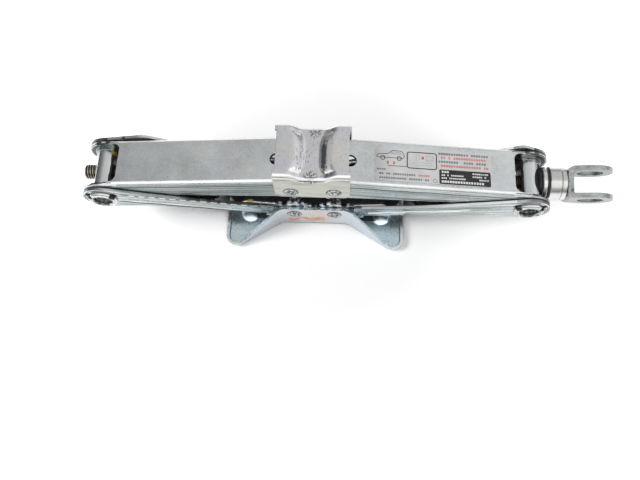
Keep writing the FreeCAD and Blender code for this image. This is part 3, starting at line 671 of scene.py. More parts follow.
@dataclass(frozen=True)
class StainAndPaintedLight:
    """A coloured mark at one place on the jack, in millimetres: a stain, painted shade or a painted
    highlight.
    """

    centre: Point
    radius: float
    colour: Colour
    stretch: Point = (1.0, 1.0, 1.0)
    rough: float = 0.6
    metal: float | None = 0.2
    strength: float = 0.85

    def mask(self, on: Surface) -> Socket:
        """Give where the mark lies."""
        return on.g.call(on.effects.spot, Vector=on.at, Centre=metres(self.centre),
                         Stretch=self.stretch, Radius=self.radius * MM).outputs["Mask"]


@dataclass(frozen=True)
class Ring:
    """Ring drawn about an axis along Y, in millimetres."""

    centre: Pair
    radius: float
    width: float
    colour: Colour = (0.012, 0.013, 0.012)
    rough: float = 0.4
    strength: float = 0.85
    metal: float | None = None

    def mask(self, on: Surface) -> Socket:
        """Give where the ring lies."""
        return on.g.call(on.effects.ring, Vector=on.at, Centre=metres((self.centre[0], 0.0, self.centre[1])),
                         Radius=self.radius * MM, Width=self.width * MM).outputs["Mask"]


@dataclass(frozen=True)
class Zone:
    """Part of a sheet picked by its distance from the middle plane and the way it looks, in millimetres."""

    start: float
    end: float
    facing: float
    tilt: float = -0.3
    beyond: float = -5.0
    reach: float = 250.0
    # The default near-black paints shade on inner faces and in narrow slots.
    colour: Colour = (0.010, 0.010, 0.009)
    rough: float = 0.45
    metal: float | None = 0.0
    strength: float = 0.96
    ragged: float = 4.0

    def mask(self, on: Surface) -> Socket:
        """Give where the zone lies.

        Args:
            on: What the finish is worked out on.

        Returns:
            The mask's socket.
        """
        return on.g.call(on.effects.zone, Vector=on.at, Normal=on.facing, From=self.start * MM,
                         To=self.end * MM, Beyond=self.beyond * MM, Reach=self.reach * MM,
                         Facing=self.facing, Tilt=self.tilt, Ragged=self.ragged * MM).outputs["Mask"]


@dataclass(frozen=True)
class Line:
    """Mark along a straight edge or bead, in millimetres in the turned frame of its finish."""

    height: float
    start: float
    end: float
    width: float = 0.9
    step: float = 8.0
    fill: float = 1.3
    # The default near-white paints a highlight.
    colour: Colour = (0.98, 0.99, 1.0)
    rough: float = 0.2
    strength: float = 0.9
    turn: float | None = None
    metal: float | None = None

    def mask(self, on: Surface) -> Socket:
        """Give where the line lies.

        Args:
            on: What the finish is worked out on.

        Returns:
            The mask's socket.
        """
        frame = on.along if self.turn is None else on.g.turned(on.at, (0.0, self.turn, 0.0))
        return on.g.call(on.effects.line, Vector=frame, Height=self.height * MM, Width=self.width * MM,
                         Step=self.step * MM, Fill=self.fill, From=self.start * MM,
                         To=self.end * MM).outputs["Mask"]


@dataclass(frozen=True)
class Plating:
    """Zinc-plated or bright steel, with the wear that it shows and with painted light and shade."""

    name: str
    colour: Colour
    rough: float = 0.3
    clouds: float = 0.12
    patch: float = 45.0
    tint: float = 0.12
    grain: float = 0.15
    scratch: float = 0.25
    scratch_share: float = 0.25
    scratch_turn: Point = (0.0, 0.0, 0.0)
    speck: float = 0.5
    speck_share: float = 0.1
    speck_density: float = 420.0
    # Corner darkening by ambient occlusion, its reach and its colour: painted shade mixed with soiling; the
    # colour also darkens specks.
    grime_and_shade: float = 0.6
    grime_and_shade_reach: float = 14.0
    grime_and_shade_colour: Colour = (0.03, 0.028, 0.025)
    # Edge rounding, and how far the edges are lightened as wear and as a painted highlight.
    edge_radius: float = 0.5
    edge_light: float = 0.35
    dents: float = 0.1
    dent_density: float = 90.0
    # Painted reflections on faces that look along Y: how strong, how dark and how tinted.
    flank_reflections: float = 0.0
    flank_reflection_dark: float = 0.3
    flank_reflection_tint: Colour = (0.93, 1.0, 0.985)
    bend_light: float = 0.0
    zones: tuple[Zone, ...] = ()
    rings: tuple[Ring, ...] = ()
    lines: tuple[Line, ...] = ()
    stains_and_painted_light: tuple[StainAndPaintedLight, ...] = ()

    def build(self, effects: SurfaceEffects) -> Material:
        """Make the material.

        Args:
            effects: The shared groups.

        Returns:
            The finished material.
        """
        material, g, shader = plain_material(self.name)
        coordinates = g.add("ShaderNodeTexCoord")
        at = coordinates.outputs["Object"]
        on = Surface(g, effects, at, g.turned(at, self.scratch_turn), coordinates.outputs["Normal"])
        edges = g.call(effects.edges, Vector=at, Radius=self.edge_radius * MM)
        scratches = g.call(effects.scratches, Vector=on.along, Share=self.scratch_share)

        look = self.detail(on, self._wear_and_painted_light(on, edges.outputs["Mask"], scratches.outputs["Mask"]))
        # Painted highlight along the upper half of each bend.
        if self.bend_light:
            bend = g.times(g.call(effects.bends, Normal=on.facing).outputs["Mask"], self.bend_light)
            look = self._covered(g, look, bend, (1.0, 1.0, 1.0), rough=0.35, metal=0.3)
        for mark in (*self.lines, *self.rings, *self.zones, *self.stains_and_painted_light):
            mask = g.times(mark.mask(on), mark.strength)
            look = self._covered(g, look, mask, mark.colour, mark.rough, mark.metal)

        dents = g.call(effects.dents, Vector=at, Per_metre=self.dent_density)
        height = g.math("ADD", g.times(dents.outputs["Height"], self.dents * DENT_SCALE),
                        g.times(scratches.outputs["Grain"], self.grain * GRAIN_SCALE))
        normal = g.bump(self.relief(on, height), PLATING_RELIEF, Normal=edges.outputs["Normal"])
        g.fill(shader, Base_Color=look[0], Roughness=look[1], Metallic=look[2], Normal=normal)
        return material

    def detail(self, on: Surface, look: Look) -> Look:
        """Add the piece's own marks to its colour, roughness and metal, where it has some."""
        return look

    def relief(self, on: Surface, height: Socket) -> Socket:
        """Add the piece's own relief to the height, where it has one."""
        return height

    def _wear_and_painted_light(self, on: Surface, edge: Socket, scratch: Socket) -> Look:
        """Cloud, tint, speck and scratch the plating, paint light and dark reflections on its sides, lighten
        its edges as wear and painted highlight, and darken its corners as soiling and painted shade.

        Args:
            on: What the finish is worked out on.
            edge: Mask of the edges.
            scratch: Mask of the scratches.

        Returns:
            The colour, roughness and metal.
        """
        g = on.g
        clouds = g.call(on.effects.clouds, Vector=on.at, Patch=self.patch)
        lift = g.math("ADD", g.times(clouds.outputs["Large"], LARGE_CLOUDS),
                      g.times(clouds.outputs["Small"], SMALL_CLOUDS))
        colour = g.scaled(self.colour, g.span(lift, 0.0, 1.0, 1.0 - self.clouds, 1.0 + self.clouds))
        film = g.call(on.effects.film, Vector=on.at, Patch=self.patch * FILM_PATCH)
        colour = g.blend(self.tint, colour, g.blend(1.0, colour, film.outputs["Color"], "MULTIPLY"))
        # Painted reflections: light and dark bands along the faces that look along Y.
        if self.flank_reflections:
            streaks = g.call(on.effects.streaks, Vector=on.along, Normal=on.facing)
            shade = g.span(streaks.outputs["Shade"], 0.0, 1.0, self.flank_reflection_dark, 1.0)
            reflected = g.scaled(g.vector("MULTIPLY", colour, self.flank_reflection_tint), shade)
            colour = g.blend(g.times(streaks.outputs["Face"], self.flank_reflections), colour, reflected)

        specks = g.call(on.effects.specks, Vector=on.at, Per_metre=self.speck_density, Share=self.speck_share)
        speck = g.times(specks.outputs["Mask"], self.speck)
        scratch = g.times(scratch, self.scratch)
        # Darkening by ambient occlusion in corners and folds: painted shade mixed with soiling.
        soil_and_shade = g.call(on.effects.grime_and_shade, Vector=on.at, Reach=self.grime_and_shade_reach * MM,
                      Strength=self.grime_and_shade).outputs["Mask"]
        colour = g.blend(speck, colour, self.grime_and_shade_colour)
        colour = g.blend(scratch, colour, tuple(SCRATCH_SHADE * c for c in self.colour))
        # Edges lightened as wear and as a painted highlight.
        colour = g.blend(g.times(edge, self.edge_light), colour, WORN_EDGE_HIGHLIGHT)
        colour = g.blend(soil_and_shade, colour, self.grime_and_shade_colour)

        rough = g.span(lift, 0.0, 1.0, self.rough * 0.85, self.rough * 1.2)
        rough = g.math("ADD", rough, g.times(g.math("ADD", soil_and_shade, scratch), 0.2), clamp=True)
        metal = g.math("SUBTRACT", 1.0, g.times(g.math("MAXIMUM", soil_and_shade, speck), 0.7), clamp=True)
        return colour, rough, metal

    @staticmethod
    def _covered(g: Graph, look: Look, mask: Socket, colour: Colour, rough: float,
                 metal: float | None) -> Look:
        """Lay a mark over the look.

        Args:
            g: The material's graph.
            look: Colour, roughness and metal so far.
            mask: Where the mark lies.
            colour: The mark's colour.
            rough: The mark's roughness.
            metal: The mark's metal, or None where it stays as it is.

        Returns:
            The covered look.
        """
        old_colour, old_rough, old_metal = look
        if metal is not None:
            old_metal = g.toward(mask, old_metal, metal)
        return g.blend(mask, old_colour, colour), g.toward(mask, old_rough, rough), old_metal


@dataclass(frozen=True)
class PressedSaddle(Plating):
    """Plated saddle, creased where the sheet was drawn and scuffed in its valley."""

    wall: Colour = (0.53, 0.54, 0.475)
    wall_cover: float = 0.85
    wall_lines: Colour = (0.07, 0.068, 0.06)
    wall_line_cover: float = 0.75
    wall_lines_z: Pair = (72.0, 83.0)
    line_stretch: Point = (45.0, 60.0, 1100.0)
    scuff: Colour = (0.05, 0.048, 0.045)
    scuff_cover: float = 0.9
    scuff_metal: float = 0.2
    scuff_stretch: Point = (1500.0, 260.0, 400.0)
    creases: tuple[Point, ...] = ((-0.5, -19.5, 82.0), (1.0, 19.0, 82.0))
    crease_reach: float = 8.0
    crease_rays: float = 9.0
    crease_bend: float = 14.0
    crease_depth: float = 0.3
    crease_cover: float = 0.85
    valley: float = 16.0

    def detail(self, on: Surface, look: Look) -> Look:
        """Greenish walls with drawing lines, dark scuff marks across the valley, and dark creases.

        Args:
            on: What the finish is worked out on.
            look: Colour, roughness and metal so far.

        Returns:
            The new look.
        """
        g, at = on.g, on.at
        colour, rough, metal = look
        wall = g.span(g.math("ABSOLUTE", g.split(on.facing)[1]), 0.55, 0.95, smooth=True)
        x, _, z = g.split(at)
        colour = g.blend(g.times(wall, self.wall_cover), colour, self.wall)
        drawn = g.noise(g.vector("MULTIPLY", at, self.line_stretch), scale=1.0, detail=3.0, rough=0.6)
        high = g.span(z, *metres(self.wall_lines_z), to_low=0.35)
        drawn = g.times(g.span(drawn, 0.53, 0.61), g.times(wall, high))
        colour = g.blend(g.times(drawn, self.wall_line_cover), colour, self.wall_lines)

        torn = g.noise(g.vector("MULTIPLY", at, self.scuff_stretch), scale=1.0, detail=4.0, rough=0.65)
        patch = g.span(g.noise(at, 90.0, 2.0), 0.42, 0.5)
        in_valley = g.span(g.math("ABSOLUTE", x), self.valley * MM, 0.5 * self.valley * MM, 0.12, 1.0, True)
        torn = g.times(g.times(g.span(torn, 0.57, 0.61), patch), in_valley)
        torn = g.times(torn, g.math("SUBTRACT", 1.0, wall))
        colour = g.blend(g.times(torn, self.scuff_cover), colour, self.scuff)
        metal = g.toward(torn, metal, self.scuff_metal)
        for centre in self.creases:
            rays, near = self._star(g, at, centre)
            strokes = g.span(g.math("ADD", rays, g.noise(at, 500.0, 3.0)), 1.1, 1.35)
            spots = g.span(g.noise(at, 700.0, 3.0), 0.55, 0.62)
            dark = g.times(g.span(near, 0.1, 0.5), g.math("MAXIMUM", strokes, spots))
            colour = g.blend(g.times(dark, self.crease_cover), colour, self.scuff)
        return colour, rough, metal

    def _star(self, g: Graph, at: Socket, centre: Point) -> tuple[Socket, Socket]:
        """Rays round one end of the valley, and how near a point is to it.

        Args:
            g: The material's graph.
            at: Object coordinates.
            centre: Middle of the star, in millimetres.

        Returns:
            The rays, and the nearness from 0 to 1.
        """
        away = g.vector("SUBTRACT", at, metres(centre))
        x, y, _ = g.split(away)
        turn = g.math("ARCTAN2", y, x)
        bend = g.times(g.noise(at, 160.0, 3.0), self.crease_bend)
        near = g.span(g.length(away), self.crease_reach * MM, 0.0, smooth=True)
        return g.math("SINE", g.math("ADD", g.times(turn, self.crease_rays), bend)), near

    def relief(self, on: Surface, height: Socket) -> Socket:
        """Add star-shaped creases about both ends of the valley.

        Args:
            on: What the finish is worked out on.
            height: The height so far.

        Returns:
            The new height.
        """
        g = on.g
        for centre in self.creases:
            rays, near = self._star(g, on.at, centre)
            star = g.times(g.math("ADD", rays, g.noise(on.at, 300.0, 2.0)), near)
            height = g.math("ADD", height, g.times(star, self.crease_depth))
        return height


@dataclass(frozen=True)
class HammeredRivet(Plating):
    """Plated rivet heads with a shallow pressed ring and dark hammer marks."""

    heads: tuple[Pair, ...] = ()
    ring: float = 3.4
    ring_depth: float = 0.9
    rim: float = 5.7
    rim_edge: Pair = (0.7, 0.2)
    mark: Colour = (0.03, 0.032, 0.034)
    mark_density: float = 520.0
    mark_cover: float = 0.55
    mark_strength: float = 0.85
    mark_metal: float = 0.5

    def detail(self, on: Surface, look: Look) -> Look:
        """Dark marks over each head, and a dark line round its rim.

        Args:
            on: What the finish is worked out on.
            look: Colour, roughness and metal so far.

        Returns:
            The new look.
        """
        g = on.g
        colour, rough, metal = look
        marks = g.call(on.effects.blotches, Vector=on.at, Per_metre=self.mark_density,
                       Cover=self.mark_cover).outputs["Mask"]
        for head in self.heads:
            off = g.apart(self._from_axis(on, head), self.rim * MM)
            marks = g.math("MAXIMUM", marks, g.span(off, *metres(self.rim_edge)))
        marks = g.times(marks, self.mark_strength)
        return g.blend(marks, colour, self.mark), rough, g.toward(marks, metal, self.mark_metal)

    @staticmethod
    def _from_axis(on: Surface, head: Pair) -> Socket:
        """Distance from a rivet's axis, in metres."""
        away = on.g.vector("SUBTRACT", on.at, metres((head[0], 0.0, head[1])))
        return on.g.length(on.g.vector("MULTIPLY", away, (1.0, 0.0, 1.0)))

    def relief(self, on: Surface, height: Socket) -> Socket:
        """Press a ring into each head.

        Args:
            on: What the finish is worked out on.
            height: The height so far.

        Returns:
            The new height.
        """
        g = on.g
        for head in self.heads:
            far = g.math("DIVIDE", self._from_axis(on, head), self.ring * MM)
            ring = g.span(g.apart(far, 1.0), 0.35, 0.0, smooth=True)
            height = g.math("SUBTRACT", height, g.times(ring, self.ring_depth))
        return height


@dataclass(frozen=True)
class ThreadedSteel(Plating):
    """Rolled thread about an axis along X, with painted shade in its grooves and a painted highlight on its
    crests.
    """

    axis_z: float = 0.0
    groove: float = 5.2
    crest: float = 5.9
    crest_highlight: Colour = (0.86, 0.82, 0.74)
    crest_highlight_edge: Pair = (-0.15, 0.08)
    groove_metal: float = 0.3

    def detail(self, on: Surface, look: Look) -> Look:
        """Painted shade in the grooves and a painted highlight on the crests.

        Args:
            on: What the finish is worked out on.
            look: Colour, roughness and metal so far.

        Returns:
            The new look.
        """
        g = on.g
        colour, rough, metal = look
        away = g.vector("SUBTRACT", on.at, (0.0, 0.0, self.axis_z * MM))
        far = g.length(g.vector("MULTIPLY", away, (0.0, 1.0, 1.0)))
        shaded = g.span(far, self.crest * MM, self.groove * MM, to_high=0.95)
        crest_lit = g.span(far, *((self.crest + edge) * MM for edge in self.crest_highlight_edge), to_high=0.6)
        colour = g.blend(crest_lit, g.blend(shaded, colour, self.grime_and_shade_colour), self.crest_highlight)
        return colour, rough, g.toward(shaded, metal, self.groove_metal)


@dataclass(frozen=True)
class MarkedBase(Plating):
    """Plated base with lilac and cream walls and a wavy stroke of marking paint on the front one."""

    paint: Colour = (0.78, 0.30, 0.13)
    wall: Colour = (0.59, 0.61, 0.65)
    wall_cover: float = 0.8
    cream: Colour = (0.60, 0.52, 0.44)
    cream_middle: float = 4.0
    cream_reach: Pair = (18.0, 6.0)
    cream_cover: float = 0.6
    rim: Pair = (3.7, 5.3)
    rim_light: Colour = (0.96, 0.98, 1.0)
    rim_cover: float = 0.85
    front: float = -18.0
    stroke_from: float = -21.0
    stroke_to: float = 8.0
    stroke_height: float = 10.8
    stroke_ripple: float = 430.0
    stroke_swing: float = 1.6
    stroke_waver: float = 1.4
    stroke_edge: Pair = (3.6, 2.8)
    brush_stretch: Point = (0.35, 1.0, 1.6)
    paint_cover: float = 0.85
    paint_rough: float = 0.5

    def detail(self, on: Surface, look: Look) -> Look:
        """Tint the walls, light the rims of the feet and lay the stroke of paint.

        Args:
            on: What the finish is worked out on.
            look: Colour, roughness and metal so far.

        Returns:
            The new look.
        """
        g = on.g
        colour, rough, metal = look
        upward = g.split(on.facing)[2]
        x, _, z = g.split(on.at)
        wall = g.span(g.math("ABSOLUTE", upward), 0.5, 0.15, smooth=True)
        colour = g.blend(g.times(wall, self.wall_cover), colour, self.wall)
        rim = g.times(g.within(z, *metres(self.rim)), g.span(upward, 0.3, 0.6, smooth=True))
        colour = g.blend(g.times(rim, self.rim_cover), colour, self.rim_light)
        near = g.span(g.apart(x, self.cream_middle * MM), *metres(self.cream_reach))
        colour = g.blend(g.times(g.times(wall, near), self.cream_cover), colour, self.cream)
        stroke = self._stroke(on, wall)
        return (g.blend(stroke, colour, self.paint), g.toward(stroke, rough, self.paint_rough),
                g.toward(stroke, metal, 0.0))

    def _stroke(self, on: Surface, wall: Socket) -> Socket:
        """Mask of the stroke of paint, dry and broken in places.

        Args:
            on: What the finish is worked out on.
            wall: Mask of the walls.

        Returns:
            The mask.
        """
        g = on.g
        x, y, z = g.split(on.at)
        wave = g.times(g.math("SINE", g.times(x, self.stroke_ripple)), self.stroke_swing * MM)
        middle = g.math("ADD", self.stroke_height * MM, wave)
        waver = g.span(g.noise(on.at, 150.0, 2.0), NOISE_LOW, NOISE_HIGH, -self.stroke_waver * MM,
                       self.stroke_waver * MM)
        off = g.apart(g.math("ADD", z, waver), middle)
        stroke = g.span(off, *metres(self.stroke_edge), smooth=True)
        dry = g.noise(g.vector("MULTIPLY", on.at, self.brush_stretch), 420.0, 2.0)
        stroke = g.times(stroke, g.span(dry, 0.36, 0.46))
        inside = g.within(x, self.stroke_from * MM, self.stroke_to * MM)
        front = g.times(g.math("LESS_THAN", y, self.front * MM), wall)
        return g.times(g.times(stroke, g.times(inside, front)), self.paint_cover)


@dataclass(frozen=True)
class PlainCoat:
    """Dielectric finish, such as plastic, black oxide, printed film or ink."""

    name: str
    colour: Colour
    rough: float = 0.5
    metal: float = 0.0
    clouds: float = 0.08
    patch: float = 90.0
    # Corner darkening by ambient occlusion, its reach and its colour: painted shade mixed with soiling.
    grime_and_shade: float = 0.3
    grime_and_shade_reach: float = 6.0
    grime_and_shade_colour: Colour = (0.04, 0.038, 0.033)
    speck: float = 0.3
    speck_colour: Colour = (0.08, 0.08, 0.08)
    speck_density: float = 600.0
    speck_share: float = 0.05
    fibre: float = 0.2
    fibre_density: float = 900.0

    def build(self, effects: SurfaceEffects) -> Material:
        """Make the material.

        Args:
            effects: The shared groups.

        Returns:
            The finished material.
        """
        material, g, shader = plain_material(self.name)
        at = g.add("ShaderNodeTexCoord").outputs["Object"]
        clouds = g.call(effects.clouds, Vector=at, Patch=self.patch)
        level = g.span(clouds.outputs["Large"], 0.0, 1.0, 1.0 - self.clouds, 1.0 + self.clouds)
        specks = g.call(effects.specks, Vector=at, Per_metre=self.speck_density, Share=self.speck_share)
        speck = g.times(specks.outputs["Mask"], self.speck)
        colour = g.blend(speck, g.scaled(self.colour, level), self.speck_colour)
        # Darkening by ambient occlusion in corners: painted shade mixed with soiling.
        grime_and_shade = g.call(effects.grime_and_shade, Vector=at, Reach=self.grime_and_shade_reach * MM, Strength=self.grime_and_shade)
        colour = g.blend(grime_and_shade.outputs["Mask"], colour, self.grime_and_shade_colour)
        rough = g.span(clouds.outputs["Small"], 0.0, 1.0, self.rough * 0.85, min(1.0, self.rough * 1.15))
        normal = g.bump(g.times(g.noise(at, self.fibre_density, 2.0), self.fibre), COAT_RELIEF)
        g.fill(shader, Base_Color=colour, Roughness=rough, Metallic=self.metal, Normal=normal)
        return material


# ---- Mesh making ----


class Workshop:
    """Turns meshes and geometry-node trees into finished pieces."""

    @staticmethod
    def link(name: str, mesh: Mesh) -> Piece:
        """Put a mesh into the scene as an object at the origin.

        Args:
            name: Name of the object.
            mesh: The mesh.

        Returns:
            The object.
        """
        piece = bpy.data.objects.new(name, mesh)
        bpy.context.scene.collection.objects.link(piece)
        return piece

    @staticmethod
    def dress(piece: Piece, material: Material) -> None:
        """Give a piece one material."""
        piece.data.materials.clear()
        piece.data.materials.append(material)

    @staticmethod
    def skin(bm: bmesh.types.BMesh, low: Sequence[bmesh.types.BMVert], high: Sequence[bmesh.types.BMVert],
             closed: bool = True) -> None:
        """Put faces between two rows of points.

        Args:
            bm: The mesh that the points belong to.
            low: First row.
            high: Second row, with as many points.
            closed: Whether the rows run round and meet their own start.
        """
        for i in range(len(low) if closed else len(low) - 1):
            k = (i + 1) % len(low)
            bm.faces.new((low[i], low[k], high[k], high[i]))

    @staticmethod
    def smooth(mesh: Mesh, sharp: float) -> None:
        """Shade a mesh smooth but for its sharp edges.

        Args:
            mesh: The mesh.
            sharp: Angle above which an edge stays sharp, in degrees.
        """
        for face in mesh.polygons:
            face.use_smooth = True
        mesh.set_sharp_from_angle(angle=math.radians(sharp))

    @staticmethod
    def keep(bm: bmesh.types.BMesh, name: str) -> Piece:
        """Turn a mesh under work into an object.

        Args:
            bm: The mesh under work; it is freed.
            name: Name of the object.

        Returns:
            The object.
        """
        mesh = bpy.data.meshes.new(name)
        bm.to_mesh(mesh)
        bm.free()
        return Workshop.link(name, mesh)

    @staticmethod
    def lathe(name: str, profile: Sequence[Pair], axis_z: float, steps: int,
              sharp: float) -> Piece:
        """Turn a profile about a line along X.

        Args:
            name: Name of the piece.
            profile: X and radius of each point, in millimetres.
            axis_z: Height of the line, in millimetres.
            steps: Points around the axis.
            sharp: Angle above which an edge stays sharp, in degrees.

        Returns:
            The turned piece.
        """
        bm = bmesh.new()
        turns = [2.0 * math.pi * i / steps for i in range(steps)]
        rows = [[bm.verts.new(metres((x, radius * math.cos(turn), axis_z + radius * math.sin(turn))))
                 for turn in turns] for x, radius in profile]
        for low, high in zip(rows, rows[1:]):
            Workshop.skin(bm, low, high)
        bmesh.ops.remove_doubles(bm, verts=bm.verts, dist=1e-7)
        bmesh.ops.recalc_face_normals(bm, faces=bm.faces)
        piece = Workshop.keep(bm, name)
        Workshop.smooth(piece.data, sharp)
        return piece

    @staticmethod
    def grow(name: str, tree: Tree, values: dict[str, object], place: Matrix) -> Piece:
        """Run a geometry-node tree and keep the result as a plain mesh.

        Args:
            name: Name of the piece.
            tree: The tree, with named inputs.
            values: Value of each named input.
            place: Where the result goes, kept in its mesh.

        Returns:
            The finished piece.
        """
        seed = Workshop.link(name + "_seed", bpy.data.meshes.new(name + "_seed"))
        modifier = seed.modifiers.new("Grow", "NODES")
        modifier.node_group = tree
        for item in tree.interface.items_tree:
            if getattr(item, "in_out", "") == "INPUT" and item.name in values:
                modifier[item.identifier] = values[item.name]
        piece = Workshop.settle(name, seed)
        piece.data.transform(place)
        return piece

    @staticmethod
    def settle(name: str, raw: Piece) -> Piece:
        """Keep the result of an object's modifiers as a plain mesh, and remove the object.

        Args:
            name: Name of the finished piece.
            raw: Object with modifiers.

        Returns:
            The finished piece.
        """
        bpy.context.view_layer.update()
        mesh = bpy.data.meshes.new_from_object(raw.evaluated_get(bpy.context.evaluated_depsgraph_get()))
        bpy.data.objects.remove(raw)
        mesh.name = name
        return Workshop.link(name, mesh)


class FieldGraph(NodeGroup):
    """Graph of a geometry-node tree that makes a piece from named inputs."""

    def __init__(self, name: str, inputs: dict[str, object]) -> None:
        """Make an empty tree that also takes a material."""
        super().__init__(name, {"Geometry": None, **inputs, "Material": None}, ["Geometry"],
                         "GeometryNodeTree")

    def grid(self, across: object, along: object) -> Socket:
        """Add a flat grid one metre square, with a number of points each way."""
        return self.fill(self.add("GeometryNodeMeshGrid"), Size_X=1.0, Size_Y=1.0, Vertices_X=across,
                         Vertices_Y=along).outputs["Mesh"]

    def draw(self, low: object, high: object, seed: object) -> Socket:
        """Draw a number between two others for each point.

        Args:
            low: Least number, or its socket.
            high: Greatest number, or its socket.
            seed: Socket of the seed.

        Returns:
            The drawn number's socket.
        """
        node = self.add("FunctionNodeRandomValue", data_type="FLOAT")
        for socket, part in ((node.inputs[2], low), (node.inputs[3], high), (node.inputs["Seed"], seed)):
            self.put(socket, part)
        return node.outputs[1]

    def finish(self, geometry: Socket) -> None:
        """Realize the geometry, give it the tree's material and send it out.

        Args:
            geometry: Socket of the geometry.
        """
        real = self.fill(self.add("GeometryNodeRealizeInstances"), Geometry=geometry).outputs[0]
        self.give("Geometry", self.fill(self.add("GeometryNodeSetMaterial"), Geometry=real,
                                        Material=self.given()[-1]).outputs[0])


# ---- Sub-assemblies ----

ACROSS_Y: Point = (0.0, 0.0, 90.0)
# Near-black for painted shade in slots, hollows and along folds.
BLACK: Colour = (0.012, 0.013, 0.012)


@dataclass
class Dresser:
    """What every sub-assembly works with: the frame's nodes and the shared effects."""

    frame: dict
    effects: SurfaceEffects

    def give(self, finish: Plating | PlainCoat, *nodes: str) -> None:
        """Put one finish on one or more of the frame's nodes.

        Args:
            finish: The finish.
            nodes: Names of the nodes.
        """
        material = finish.build(self.effects)
        for node in nodes:
            Workshop.dress(self.frame["nodes"][node], material)
            LOG.info("dressed %s with %s", node, finish.name)


